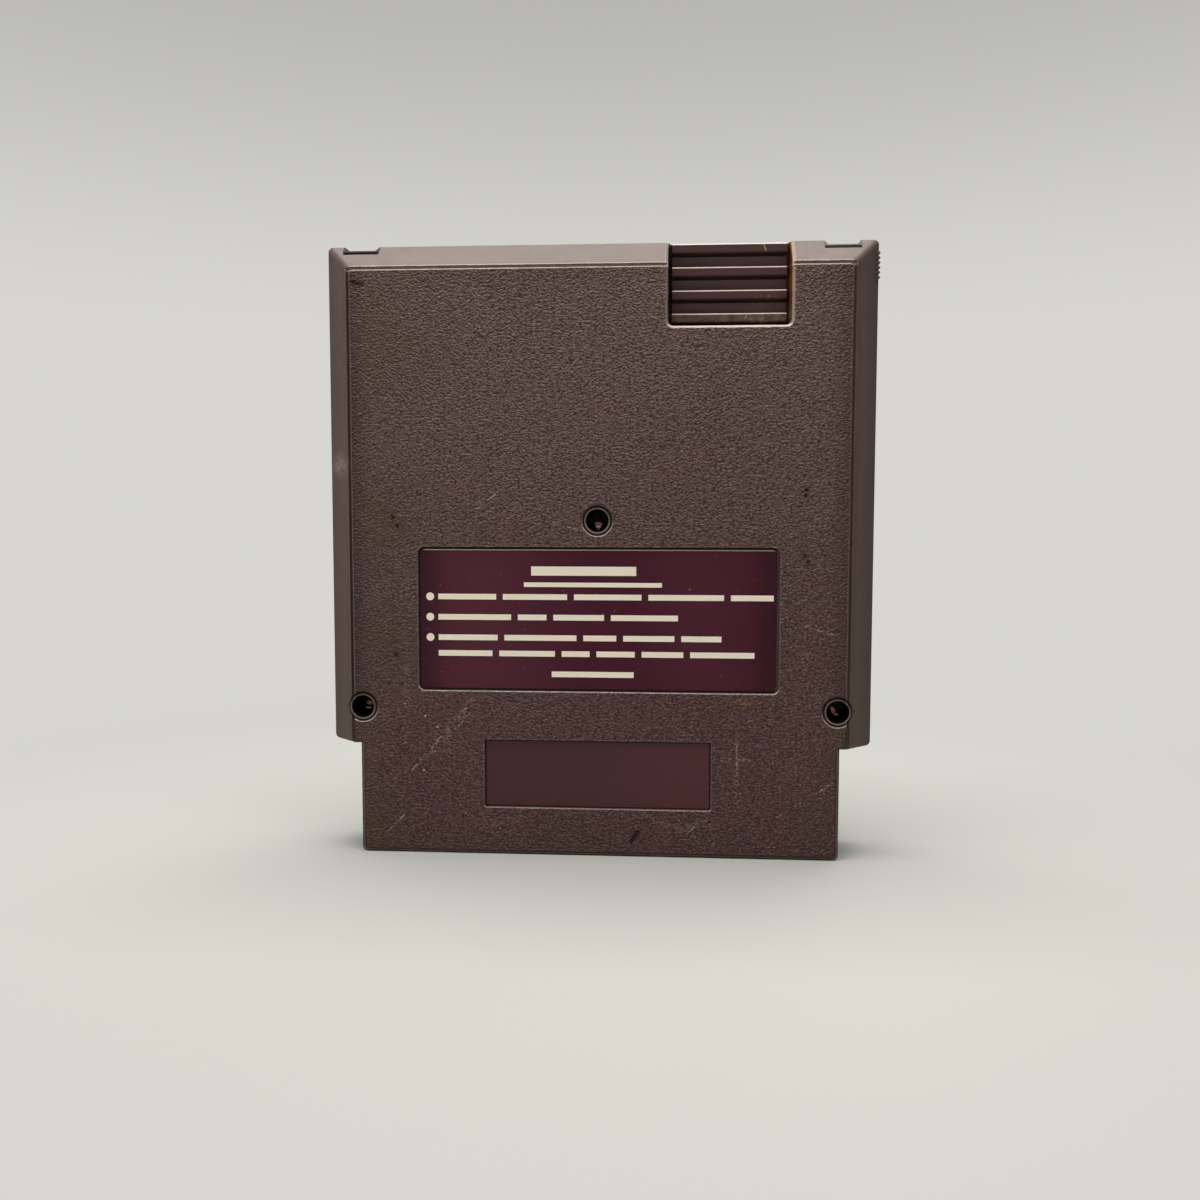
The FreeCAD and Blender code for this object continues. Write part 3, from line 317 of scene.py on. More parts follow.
class Finish:
    """One procedural material, whose patterns lie on the piece's own coordinates in millimetres."""

    def __init__(self, name):
        self.material = bpy.data.materials.new(name)
        self.material.use_nodes = True
        self.nodes = self.material.node_tree.nodes
        self.links = self.material.node_tree.links
        self.shader = self.nodes["Principled BSDF"]
        self.place = self.scaled(self.nodes.new("ShaderNodeTexCoord").outputs["Object"], (1 / MM,) * 3)
        split = self.nodes.new("ShaderNodeSeparateXYZ")
        self.feed(split.inputs[0], self.place)
        self.x, self.y, self.z = split.outputs
        self.dull_places = []

    def feed(self, socket, source):
        """Give a socket a fixed value, or link another node's output to it."""
        if isinstance(source, bpy.types.NodeSocket):
            self.links.new(source, socket)
        elif socket.type == "RGBA":
            socket.default_value = (*source, 1.0)
        else:
            socket.default_value = source

    def set(self, **sources):
        """Feed the shader's sockets, named in small letters with underscores."""
        for name, source in sources.items():
            socket = next(s for s in self.shader.inputs if s.name.lower().replace(" ", "_") == name)
            self.feed(socket, source)

    def vector(self, operation, *terms):
        node = self.nodes.new("ShaderNodeVectorMath")
        node.operation = operation
        for socket, term in zip(node.inputs, terms):
            self.feed(socket, term)
        return node.outputs["Value" if operation in ("LENGTH", "DISTANCE", "DOT_PRODUCT") else "Vector"]

    def scaled(self, vector, factors):
        return self.vector("MULTIPLY", vector, factors)

    def math(self, operation, *terms):
        node = self.nodes.new("ShaderNodeMath")
        node.operation = operation
        for socket, term in zip(node.inputs, terms):
            self.feed(socket, term)
        return node.outputs[0]

    def times(self, *terms):
        product = terms[0]
        for term in terms[1:]:
            product = self.math("MULTIPLY", product, term)
        return product

    def most(self, *terms):
        largest = terms[0]
        for term in terms[1:]:
            largest = self.math("MAXIMUM", largest, term)
        return largest

    def rise(self, amount, low, high, kind="SMOOTHSTEP"):
        """A step from 0 at low to 1 at high, which may be the smaller of the two."""
        node = self.nodes.new("ShaderNodeMapRange")
        node.interpolation_type = kind
        self.feed(node.inputs["Value"], amount)
        self.feed(node.inputs["From Min"], low)
        self.feed(node.inputs["From Max"], high)
        return node.outputs[0]

    def between(self, amount, low, high, soft):
        """1 between two limits, with soft ends."""
        above = self.rise(amount, low - soft, low + soft)
        return self.times(above, self.rise(amount, high + soft, high - soft))

    def aside(self, middle=0.0):
        """How far a place lies to either side of a middle."""
        return self.math("ABSOLUTE", self.math("SUBTRACT", self.x, middle))

    def on_right(self):
        """1 on the right half of the case, 0 on its left half."""
        return self.rise(self.x, -MIDDLE_FADE, MIDDLE_FADE)

    def noise(self, size, detail=2.0, roughness=0.5, place=None, shift=0.0):
        """Soft noise from 0 to 1 with features of about the given size."""
        node = self.nodes.new("ShaderNodeTexNoise")
        node.noise_dimensions = "4D"
        self.feed(node.inputs["Vector"], place or self.place)
        self.feed(node.inputs["W"], shift)
        self.feed(node.inputs["Scale"], 1 / size)
        self.feed(node.inputs["Detail"], detail)
        self.feed(node.inputs["Roughness"], roughness)
        return node.outputs["Fac"]

    def shaken(self, place, size, reach):
        """Coordinates shaken by soft noise, which makes lines and spots uneven."""
        node = self.nodes.new("ShaderNodeTexNoise")
        self.feed(node.inputs["Vector"], self.place)
        self.feed(node.inputs["Scale"], 1 / size)
        shift = self.vector("SUBTRACT", node.outputs["Color"], (0.5, 0.5, 0.5))
        return self.vector("ADD", place, self.scaled(shift, (reach, reach, reach)))

    def near(self, point, radius, place=None):
        """1 at a point, falling to 0 at a radius."""
        return self.rise(self.vector("DISTANCE", place or self.place, tuple(point)), radius, 0.0)

    def spots(self, spots, radius, place):
        """1 at any of several places given across and up, falling to 0 at a radius."""
        return self.most(*(self.near(on_face(spot), radius, place) for spot in spots))

    def stroke(self, start, end, width, place):
        """1 along a straight line, falling to 0 at its width."""
        along = end - start
        offset = self.vector("SUBTRACT", place, tuple(start))
        reach = self.vector("DOT_PRODUCT", offset, tuple(along))
        share = self.rise(reach, 0.0, along.length_squared, "LINEAR")
        past = self.vector("SUBTRACT", offset, self.scaled(share, tuple(along)))
        return self.rise(self.vector("LENGTH", past), width, 0.0)

    def strokes(self, lines, width, place):
        """1 along any of several lines, whose ends are given across and up."""
        return self.most(*(self.stroke(on_face(start), on_face(end), width, place) for start, end in lines))

    def outside(self, low, high, corner):
        """How far a place on the case's face lies outside a round-cornered rectangle, negative inside it."""
        middle, half = (low + high) / 2, (high - low) / 2
        across = self.math("SUBTRACT", self.aside(middle.x), half.x - corner)
        off_middle = self.math("ABSOLUTE", self.math("SUBTRACT", self.z, middle.z))
        up = self.math("SUBTRACT", off_middle, half.z - corner)
        inside = self.math("MINIMUM", self.most(across, up), 0.0)
        past = [self.math("POWER", self.most(side, 0.0), 2.0) for side in (across, up)]
        reach = self.math("SQRT", self.math("ADD", *past))
        return self.math("SUBTRACT", self.math("ADD", reach, inside), corner)

    def blend(self, share, first, second):
        node = self.nodes.new("ShaderNodeMix")
        node.data_type = "RGBA"
        self.feed(node.inputs[0], share)
        colours = [socket for socket in node.inputs if socket.type == "RGBA"]
        self.feed(colours[0], first)
        self.feed(colours[1], second)
        return next(socket for socket in node.outputs if socket.type == "RGBA")

    def level(self, share, first, second):
        """A number that goes from first to second with a share from 0 to 1."""
        return self.math("MULTIPLY_ADD", share, second - first, first)

    def darkened(self, share, colour, dirt_and_shade):
        """Blend in a darker colour that also takes away the shine: dirt in some places, painted shade in
        others.
        """
        self.dull_places.append(share)
        return self.blend(share, colour, dirt_and_shade)

    def bump(self, height, depth, below=None):
        node = self.nodes.new("ShaderNodeBump")
        self.feed(node.inputs["Strength"], 1.0)
        self.feed(node.inputs["Distance"], depth)
        self.feed(node.inputs["Height"], height)
        if below is not None:
            self.feed(node.inputs["Normal"], below)
        return node.outputs[0]

    def rounded(self, radius, samples=2):
        """Normals rounded over sharp edges, so that moulded edges catch light."""
        node = self.nodes.new("ShaderNodeBevel")
        node.samples = samples
        self.feed(node.inputs["Radius"], radius)
        return node.outputs[0]

    def edges(self, rounded):
        """1 along sharp edges, found by how far the rounded normals lean away from the faces."""
        face = self.nodes.new("ShaderNodeNewGeometry").outputs["True Normal"]
        return self.rise(self.vector("DOT_PRODUCT", rounded, face), 0.97, 0.80)


def dress(finish, *names):
    """Put a finish on CAD nodes, in each of their material slots."""
    for name in names:
        for slot in NODES[name].material_slots:
            slot.material = finish.material


def on_face(place):
    """A place given across and up, as a point for patterns that ignore depth."""
    return Vector((place[0], 0.0, place[1]))


def shade(colour, factor):
    """A colour made darker or paler by a factor."""
    return tuple(factor * part for part in colour)


def smooth_plastic(finish, look):
    """The moulded plastic away from the panel: faint clouds and streaks of colour, painted shade towards its
    outer sides and top, a soft gloss.
    """
    clouds = finish.rise(finish.noise(14.0, 3.0, 0.6), 0.3, 0.75)
    colour = finish.blend(clouds, look.smooth, shade(look.smooth, 0.74))
    streaks = finish.noise(1.0, 3.0, 0.6, finish.scaled(finish.place, (1.6, 1.6, 0.14)))
    colour = finish.blend(finish.times(finish.rise(streaks, 0.52, 0.80), 0.08), colour, look.dust_and_highlight)
    # Painted shade: the plastic darker towards the outer sides of the bevels and towards the top.
    outer_shade = finish.most(
        finish.rise(finish.aside(), CASE_HALF - BEVEL_WIDTH, CASE_HALF),
        finish.rise(finish.z, CASE_TOP - 8.0, CASE_TOP - 1.0),
    )
    colour = finish.blend(finish.times(outer_shade, 0.65), colour, shade(look.smooth, 0.5))
    roughness = finish.level(finish.noise(2.5, 3.0, 0.6), 0.50, 0.64)
    return colour, roughness


def panel_colour(finish, look, grain):
    """Colour of the grained panel: painted shade in the pits, painted highlights in the dust colour on the
    crests, a redder lower end.
    """
    colour = finish.blend(finish.rise(finish.z, 110.0, 25.0), look.panel, look.panel_low)
    clouds = finish.rise(finish.noise(22.0, 3.0, 0.6, shift=4.0), 0.35, 0.70)
    colour = finish.blend(finish.times(clouds, 0.20), colour, look.plate)
    # Painted shade in the grain's pits.
    pits = finish.rise(grain, 0.52, 0.32)
    colour = finish.blend(finish.times(pits, 0.95), colour, shade(look.panel_low, 0.25))
    # Painted highlight on the grain's crests.
    crests = finish.rise(grain, 0.50, 0.74)
    return finish.blend(finish.times(crests, 0.32), colour, look.dust_and_highlight)


def add_grime(finish, look, colour, flat):
    """Brown dirt along the panel's edges and in patches."""
    edge = finish.most(
        finish.rise(finish.aside(), PANEL_HIGH.x - SIDE_GRIME, PANEL_HIGH.x + PANEL_GROOVE),
        finish.rise(finish.z, PANEL_HIGH.z - TOP_GRIME, PANEL_HIGH.z + PANEL_GROOVE),
        finish.rise(finish.z, LOW_GRIME, 0.0),
    )
    patches = [
        finish.times(finish.near(on_face(place), reach, flat), share)
        for place, reach, share in GRIME_PLACES
    ]
    blotches = finish.rise(finish.noise(6.0, 4.0, 0.65, shift=7.0), 0.25, 0.55)
    on_rear = finish.rise(finish.y, REAR_FACE + 2.0, REAR_FACE)
    darkened = finish.most(finish.times(edge, 0.7), *patches)
    grime = finish.times(darkened, blotches, on_rear, look.grime_share)
    return finish.blend(grime, colour, look.grime)


def add_panel_rim(finish, look, colour, highlight_unevenness):
    """Painted shade on the panel's sides, and painted highlights on its edge, on the groove along its top and
    on the bevel's lower edge.
    """
    away = finish.outside(PANEL_LOW, PANEL_HIGH, PANEL_ROUND)
    top = finish.rise(finish.z, PANEL_HIGH.z - 0.60, PANEL_HIGH.z - 0.35)
    above_step = finish.rise(finish.z, PANEL_STEP, PANEL_STEP + 0.5)
    # Painted shade along the panel's sides, stronger on the left.
    sides = finish.rise(finish.aside(), PANEL_HIGH.x - 4.0, PANEL_HIGH.x - 0.3, "LINEAR")
    sides = finish.times(sides, finish.rise(away, PANEL_GROOVE, PANEL_GROOVE - 0.1), above_step)
    sides = finish.times(sides, finish.level(finish.on_right(), 0.9, 0.6))
    colour = finish.blend(sides, colour, shade(look.panel_low, 0.35))
    # Painted highlights on the bevel's lower edge, the groove along the top and the panel's edge.
    bevel_edge = finish.between(away, PANEL_GROOVE, PANEL_GROOVE + 0.35, 0.06)
    bevel_edge = finish.times(bevel_edge, above_step, finish.level(top, 0.05, 0.20))
    groove = finish.times(finish.between(away, 0.06, 0.46, 0.03), top, 0.55)
    edge = finish.times(finish.between(away, -0.32, 0.03, 0.03), above_step, finish.level(top, 0.20, 1.0))
    return finish.blend(finish.times(finish.most(edge, groove, bevel_edge), highlight_unevenness), colour, look.highlight_and_scratch)


def add_lower_end_lines(finish, look, colour):
    """A dark line and a painted highlight just inside the edge of the narrow lower end."""
    inward = finish.outside(FOOT_LOW, FOOT_HIGH, FOOT_ROUND)
    on_foot = finish.times(
        finish.rise(finish.z, SHOULDER, SHOULDER - 0.6),
        finish.rise(finish.y, REAR_FACE + 1.3, REAR_FACE + 0.9),
    )
    dark_line = finish.times(finish.between(inward, -0.95, -0.62, 0.06), on_foot, 0.75)
    colour = finish.blend(dark_line, colour, shade(look.panel_low, 0.25))
    # Painted highlight along the rounded lower edge, stronger at the bottom.
    low_edge = finish.level(finish.rise(finish.z, 1.3, 1.0), 0.10, 0.22)
    highlight_line = finish.times(finish.between(inward, -0.55, -0.28, 0.06), on_foot, low_edge)
    return finish.blend(highlight_line, colour, look.highlight_and_scratch)


def add_sunken_rims(finish, look, colour, highlight_unevenness):
    """Painted highlights on the rims round the label recess and the plate, stronger on their lower sides, and
    painted shade along their inner edges, less of it at the label's right end.
    """
    right_end = finish.rise(finish.x, LABEL_HIGH.x - 0.9, LABEL_HIGH.x - 0.6)
    for low, high, corner, shade_width, share in (
        (LABEL_LOW, LABEL_HIGH, LABEL_ROUND, 0.55, 1.0),
        (PLATE_LOW, PLATE_HIGH, PLATE_ROUND, 0.36, 0.65),
    ):
        away = finish.outside(low, high, corner)
        lower = finish.rise(finish.z, low.z + corner, low.z)
        # Painted highlight on the rim, stronger along the lower side.
        highlight_and_scratch = finish.times(finish.between(away, 0.02, 0.24, 0.03), highlight_unevenness, finish.level(lower, 0.10, share))
        colour = finish.blend(highlight_and_scratch, colour, look.highlight_and_scratch)
        # Painted shade along the inner edges of the recesses.
        shaded_margin = finish.between(away, -shade_width, -0.02, 0.03)
        shaded_margin = finish.times(shaded_margin, finish.level(right_end, 0.8, 0.2))
        colour = finish.darkened(shaded_margin, colour, look.dirt_and_shade)
    return colour


def add_marks(finish, look, colour, flat, grain):
    """Specks, smears, a rust stain, a pale scuff on the left bevel and long fine scratches."""
    uneven = finish.shaken(flat, 0.5, 0.4)
    halos = finish.spots(DARK_SPECKS, 2.2, uneven)
    colour = finish.blend(finish.times(halos, 0.7), colour, look.grime)
    smears = finish.strokes(DARK_SMEARS, 0.75, uneven)
    dark = finish.most(finish.rise(halos, 0.85, 0.93), finish.rise(smears, 0.10, 0.55))
    colour = finish.darkened(finish.times(dark, 0.8), colour, look.dirt_and_shade)
    rust = finish.rise(finish.near(on_face(RUST_SPOT), 0.9, uneven), 0.1, 0.5)
    colour = finish.blend(rust, colour, look.rust_stain)
    scuff_cloud = finish.rise(finish.noise(1.2, 3.0, 0.6), 0.30, 0.62)
    on_bevel = finish.rise(finish.y, BEVEL_FOOT, BEVEL_FOOT - 0.4)
    scuff = finish.times(finish.near(on_face(BEVEL_SCUFF), 3.8, flat), scuff_cloud, on_bevel, 0.8)
    colour = finish.blend(scuff, colour, look.dust_and_highlight)
    crests = finish.rise(grain, 0.40, 0.60)
    wavy = finish.shaken(flat, 2.5, 0.3)
    rubs = finish.strokes(FAINT_RUBS, 0.8, wavy)
    colour = finish.blend(finish.times(rubs, crests, 0.22), colour, look.dust_and_highlight)
    lines = finish.strokes(SCRATCHES, 0.22, wavy)
    gaps = finish.rise(finish.noise(1.6, 2.0, 0.6, shift=9.0), 0.34, 0.56)
    colour = finish.blend(finish.times(lines, gaps, crests, look.scratch_share), colour, look.highlight_and_scratch)
    pale = finish.rise(finish.spots(PALE_SPECKS, 0.30, uneven), 0.05, 0.4)
    return finish.blend(pale, colour, look.highlight_and_scratch)


def add_pocket(finish, look, colour, flat):
    """The finger pocket: a painted highlight on its lower lip, painted shade inside it and on its walls,
    painted highlights on the ribs' upper edges and painted shade under the ribs.
    """
    away = finish.outside(POCKET_LOW, POCKET_HIGH, POCKET_ROUND)
    # Painted highlight on the pocket's lip, stronger at its lower edge.
    lower = finish.rise(finish.z, POCKET_LOW.z + 0.6, POCKET_LOW.z - 0.1)
    lip = finish.times(finish.between(away, 0.0, 0.55, 0.06), finish.level(lower, 0.22, 0.60))
    colour = finish.blend(lip, colour, look.highlight_and_scratch)
    blotches = finish.rise(finish.noise(2.0, 3.0, 0.6, shift=3.0), 0.35, 0.60)
    right_lip = finish.rise(finish.x, POCKET_HIGH.x - 0.6, POCKET_HIGH.x - 0.3)
    right_lip = finish.times(finish.between(away, -0.2, 0.6, 0.1), right_lip)
    colour = finish.blend(finish.times(right_lip, blotches, 0.35), colour, look.lint)

    deep = finish.times(
        finish.rise(finish.y, REAR_FACE + 1.0, REAR_FACE + 2.0),
        finish.rise(finish.y, POCKET_FLOOR + 0.20, POCKET_FLOOR + 0.05),
    )
    inside = finish.times(finish.rise(away, 0.05, -0.05), deep)
    # Painted shade: the pocket's inside darker than the panel.
    colour = finish.blend(inside, colour, shade(look.panel_low, 0.70))
    floor = finish.times(inside, finish.rise(finish.y, POCKET_FLOOR - 0.3, POCKET_FLOOR - 0.1))
    colour = finish.blend(floor, colour, look.pocket_floor)
    down = finish.math("FLOORED_MODULO", finish.math("SUBTRACT", RIB_TOP, finish.z), RIB_PITCH)
    # Painted highlight on the ribs' upper edges.
    on_rib = finish.times(inside, finish.rise(finish.y, RIB_FACE + 0.35, RIB_FACE + 0.25))
    colour = finish.blend(finish.times(on_rib, finish.rise(down, 0.34, 0.24), 0.8), colour, look.highlight_and_scratch)
    # Painted shade under the ribs and along the pocket's walls.
    under = finish.times(
        finish.between(down, RIB_HEIGHT, RIB_HEIGHT + 0.35, 0.03),
        finish.rise(finish.y, RIB_FACE + 0.1, RIB_FACE + 0.2),
    )
    walls = finish.rise(away, -0.95, -0.85)
    colour = finish.darkened(finish.times(inside, finish.most(under, walls), 0.92), colour, look.dirt_and_shade)
    right_wall = finish.rise(finish.x, POCKET_HIGH.x - 1.3, POCKET_HIGH.x - 0.9)
    stain = finish.times(inside, walls, right_wall, blotches, 0.6)
    colour = finish.blend(stain, colour, look.rust_stain)
    return add_lint(finish, look, colour, flat, inside)


def add_lint(finish, look, colour, flat, inside):
    """Dust that has settled low in the finger pocket, fluff and a few hairs."""
    low_dust = finish.rise(finish.z, POCKET_LOW.z + 4.2, POCKET_LOW.z + 2.6)
    settled = finish.rise(finish.noise(1.5, 4.0, 0.7, shift=1.0), 0.30, 0.70)
    colour = finish.blend(finish.times(inside, low_dust, settled, 0.45), colour, look.dust_and_highlight)
    tufts = finish.rise(finish.noise(0.9, 4.0, 0.7, shift=5.0), 0.48, 0.64)
    fluff = finish.times(finish.near(POCKET_DUST, 7.0), tufts, 0.5)
    hairs = finish.strokes(POCKET_HAIRS, 0.24, finish.shaken(flat, 1.2, 0.9))
    return finish.blend(finish.times(inside, finish.most(fluff, hairs)), colour, look.lint)


def nearest_well(finish):
    """The distance to the middle of the nearest screw well, and the height over it."""
    is_upper = finish.math("GREATER_THAN", finish.z, (LOWER_SCREW + UPPER_SCREW) / 2)
    across = finish.math("SUBTRACT", finish.aside(), finish.level(is_upper, SIDE_SCREW, 0.0))
    up = finish.math("SUBTRACT", finish.z, finish.level(is_upper, LOWER_SCREW, UPPER_SCREW))
    offset = finish.nodes.new("ShaderNodeCombineXYZ")
    finish.feed(offset.inputs["X"], across)
    finish.feed(offset.inputs["Z"], up)
    return finish.vector("LENGTH", offset.outputs[0]), up


def add_wells(finish, look, colour, away, up):
    """The screw wells: painted shade in the black holes and in the grooves, stronger at the top, and painted
    highlights on the rings and the outer edges, stronger on their lower sides.
    """
    on_panel = finish.rise(finish.aside(), PANEL_HIGH.x + 0.05, PANEL_HIGH.x - 0.05)
    below = finish.rise(up, 1.0, -WELL_DIMPLE)
    mouth = WELL_RADIUS + 0.14
    # Painted shade in the groove round each ring, stronger on its upper side.
    groove = finish.between(away, WELL_RING, WELL_DIMPLE, 0.04)
    colour = finish.darkened(finish.times(groove, finish.level(below, 0.75, 0.35)), colour, look.dirt_and_shade)
    # Painted highlights on the ring and the outer edge, stronger on their lower sides.
    ring = finish.times(finish.between(away, mouth, WELL_RING, 0.04), finish.level(below, 0.07, 0.32))
    highlight_and_scratch = finish.between(away, WELL_DIMPLE + 0.02, WELL_DIMPLE + 0.24, 0.04)
    highlight_and_scratch = finish.times(highlight_and_scratch, on_panel, finish.level(below, 0.06, 0.60))
    colour = finish.blend(finish.most(ring, highlight_and_scratch), colour, look.highlight_and_scratch)
    # Painted shade: the hole's mouth black.
    return finish.darkened(finish.rise(away, mouth, mouth - 0.08), colour, look.dirt_and_shade)


def add_latch_darkening(finish, look, colour):
    """Darker colour in the latch notches, more of it on the left."""
    notch = finish.times(
        finish.between(finish.aside(), LATCH_MIDDLE - LATCH_HALF, LATCH_MIDDLE + LATCH_HALF, 0.1),
        finish.rise(finish.y, LATCH_LEDGE - 0.3, LATCH_LEDGE - 0.05),
        finish.rise(finish.z, LATCH_LOW - 0.2, LATCH_LOW + 0.1),
    )
    share = finish.times(notch, finish.level(finish.on_right(), 0.9, 0.4))
    return finish.darkened(share, colour, shade(look.dirt_and_shade, 2.0))


def rear_relief(finish, look, panel, grain):
    """The panel's grain and a fine even texture all over, on normals that are rounded over the edges."""
    depth_share = finish.times(panel, finish.level(finish.rise(finish.z, 20.0, 90.0), 0.75, 1.0))
    raised = finish.times(finish.math("SUBTRACT", grain, 0.5), depth_share)
    fine = finish.times(finish.noise(0.25, 0.0), 0.003 * MM / look.grain_depth)
    height = finish.math("ADD", raised, fine)
    return finish.bump(height, look.grain_depth, finish.rounded(look.edge_radius))


def rear_case_finish(look):
    """The rear shell: a grained panel, smooth bevels, a polished plate, grime, dust and scratches, with
    painted shade and painted highlights on its edges, recesses, pocket and wells.
    """
    finish = Finish("rear_case_plastic")
    flat = finish.scaled(finish.place, (1.0, 0.0, 1.0))
    smooth, smooth_roughness = smooth_plastic(finish, look)
    well, over_well = nearest_well(finish)
    grain_place = finish.scaled(finish.shaken(finish.place, 0.9, 0.5), (0.75, 1.0, 1.0))
    grain = finish.noise(look.grain_size / MM, 1.0, 0.5, grain_place)
    panel = finish.times(
        finish.rise(finish.y, REAR_FACE + 0.10, REAR_FACE + 0.04),
        finish.rise(well, WELL_RING, WELL_RING + 0.06),
    )
    colour = finish.blend(panel, smooth, panel_colour(finish, look, grain))
    plate = finish.times(
        finish.rise(finish.outside(PLATE_LOW, PLATE_HIGH, PLATE_ROUND), 0.02, -0.02),
        finish.rise(finish.y, REAR_FACE + 0.30, REAR_FACE + 0.40),
    )
    # Painted reflection: the plate paler towards the right.
    plate_reflection = finish.blend(finish.rise(finish.x, -6.0, 20.0), look.plate, shade(look.plate, 1.25))
    colour = finish.blend(plate, colour, plate_reflection)
    colour = add_grime(finish, look, colour, flat)
    # Noise that makes the painted highlights uneven.
    highlight_unevenness = finish.level(finish.noise(5.0, 3.0, 0.6, shift=2.0), 0.65, 1.05)
    colour = add_panel_rim(finish, look, colour, highlight_unevenness)
    colour = add_lower_end_lines(finish, look, colour)
    colour = add_sunken_rims(finish, look, colour, highlight_unevenness)
    colour = add_marks(finish, look, colour, flat, grain)
    colour = add_pocket(finish, look, colour, flat)
    colour = add_wells(finish, look, colour, well, over_well)
    colour = add_latch_darkening(finish, look, colour)

    roughness = finish.blend(panel, smooth_roughness, (0.52, 0.52, 0.52))
    roughness = finish.blend(plate, roughness, (0.22, 0.22, 0.22))
    finish.set(base_color=colour, roughness=roughness)
    # The plain number stays where an export drops the link.
    finish.set(specular_ior_level=SHINE)
    finish.set(specular_ior_level=finish.level(finish.most(*finish.dull_places), SHINE, DIRT_AND_SHADE_SHINE))
    finish.set(normal=rear_relief(finish, look, panel, grain))
    return finish


def front_case_finish(look):
    """The front shell: plain moulded plastic with a fine even grain, painted shade in the grain's pits, and
    rubbed edges.
    """
    finish = Finish("front_case_plastic")
    colour, roughness = smooth_plastic(finish, look)
    rounded = finish.rounded(look.edge_radius)
    rubbed = finish.rise(finish.noise(4.0, 4.0, 0.65, shift=3.0), 0.35, 0.65)
    colour = finish.blend(finish.times(finish.edges(rounded), rubbed, 0.45), colour, look.dust_and_highlight)
    grain = finish.noise(look.grain_size / MM, 2.0, 0.5)
    # Painted shade in the grain's pits.
    pits = finish.times(finish.rise(grain, 0.50, 0.30), 0.35)
    colour = finish.blend(pits, colour, shade(look.smooth, 0.4))
    finish.set(base_color=colour, roughness=roughness, specular_ior_level=SHINE)
    finish.set(normal=finish.bump(grain, 0.06 * MM, rounded))
    return finish


def sticker_film(look):
    """Dark film with two painted highlights, dark ends, fine fibres, dust and a painted highlight along its
    top edge.
    """
    finish = Finish("sticker_film")
    fibres = finish.noise(0.35, 3.0, 0.6)
    clouds = finish.rise(finish.noise(9.0, 3.0, 0.6), 0.3, 0.8)
    colour = finish.blend(clouds, look.film, shade(look.film, 1.2))
    left_glow, right_glow = (finish.rise(finish.aside(middle), reach, 0.0) for middle, reach in STICKER_GLOWS)
    # Painted highlights on two broad stretches of the film.
    colour = finish.blend(finish.most(left_glow, finish.times(right_glow, 0.5)), colour, look.sheen)
    threads = finish.times(finish.rise(fibres, 0.60, 0.75), 0.25)
    colour = finish.blend(threads, colour, shade(look.film, 2.4))
    middle, half = (STICKER_HIGH.x + STICKER_LOW.x) / 2, (STICKER_HIGH.x - STICKER_LOW.x) / 2
    ends = finish.rise(finish.aside(middle), half - 7.0, half - 1.0)
    colour = finish.blend(finish.times(ends, 0.6), colour, shade(look.film, 0.4))
    dust_and_highlight = finish.rise(finish.noise(0.6, 2.0, 0.5, shift=6.0), 0.72, 0.80)
    # Painted highlight along the sticker's top edge.
    top_edge_highlight = finish.rise(finish.z, STICKER_HIGH.z - 0.24, STICKER_HIGH.z - 0.18)
    pale = finish.most(finish.times(dust_and_highlight, 0.30), finish.times(top_edge_highlight, 0.55))
    colour = finish.blend(pale, colour, look.ink)
    roughness = finish.level(finish.noise(3.0, 3.0, 0.6), 0.34, 0.48)
    finish.set(base_color=colour, roughness=roughness, specular_ior_level=0.15)
    finish.set(normal=finish.bump(fibres, 0.006 * MM))
    return finish


def sticker_ink(look):
    """Pale ink, thinner where it is rubbed away."""
    finish = Finish("sticker_ink")
    wear = finish.rise(finish.noise(0.8, 4.0, 0.7), 0.62, 0.78)
    colour = finish.blend(finish.times(wear, 0.5), look.ink, shade(look.ink, 0.6))
    roughness = finish.level(finish.noise(2.0), 0.42, 0.58)
    finish.set(base_color=colour, roughness=roughness, normal=finish.bump(finish.noise(0.3), 0.004 * MM))
    return finish


def rusty_steel(look):
    """Screws painted black for the shade in their wells, with a rusty patch painted bright as a glint and
    small strokes of bare metal painted as glints on each head.
    """
    finish = Finish("rusty_steel")
    uneven = finish.shaken(finish.scaled(finish.place, (1.0, 0.0, 1.0)), 0.5, 0.25)
    rust = finish.rise(finish.strokes(SCREW_RUST_GLINTS, 0.75, uneven), 0.15, 0.6)
    bare = finish.rise(finish.strokes(SCREW_GLINTS, 0.30, uneven), 0.1, 0.5)
    # Painted shade: the screw heads black, as the wells are dark.
    shade_black = (0.012, 0.009, 0.008)
    colour = finish.blend(rust, shade_black, look.rust)
    colour = finish.blend(bare, colour, look.steel)
    shiny = finish.most(finish.times(bare, 0.8), finish.times(rust, 0.6))
    finish.set(base_color=colour, roughness=finish.level(shiny, 0.75, 0.35), metallic=shiny)
    finish.set(normal=finish.bump(finish.noise(0.3, 3.0), 0.05 * MM))
    return finish


def board_lacquer(look):
    """Green lacquer over copper tracks that run up from the contacts."""
    finish = Finish("board_lacquer")
    wander = finish.noise(9.0, 1.0, 0.4, finish.scaled(finish.place, (1.0, 1.0, 0.35)))
    bent = finish.math("MULTIPLY_ADD", wander, 6.0, finish.x)
    stripe = finish.math("PINGPONG", bent, 1.25)
    track = finish.rise(stripe, 0.62, 0.72)
    colour = finish.blend(track, look.mask, look.track)
    clouds = finish.times(finish.noise(4.0, 3.0), 0.4)
    colour = finish.blend(clouds, colour, shade(look.mask, 0.7))
    finish.set(base_color=colour, roughness=finish.level(finish.noise(1.5, 3.0), 0.26, 0.40))
    finish.set(normal=finish.bump(track, 0.03 * MM))
    return finish


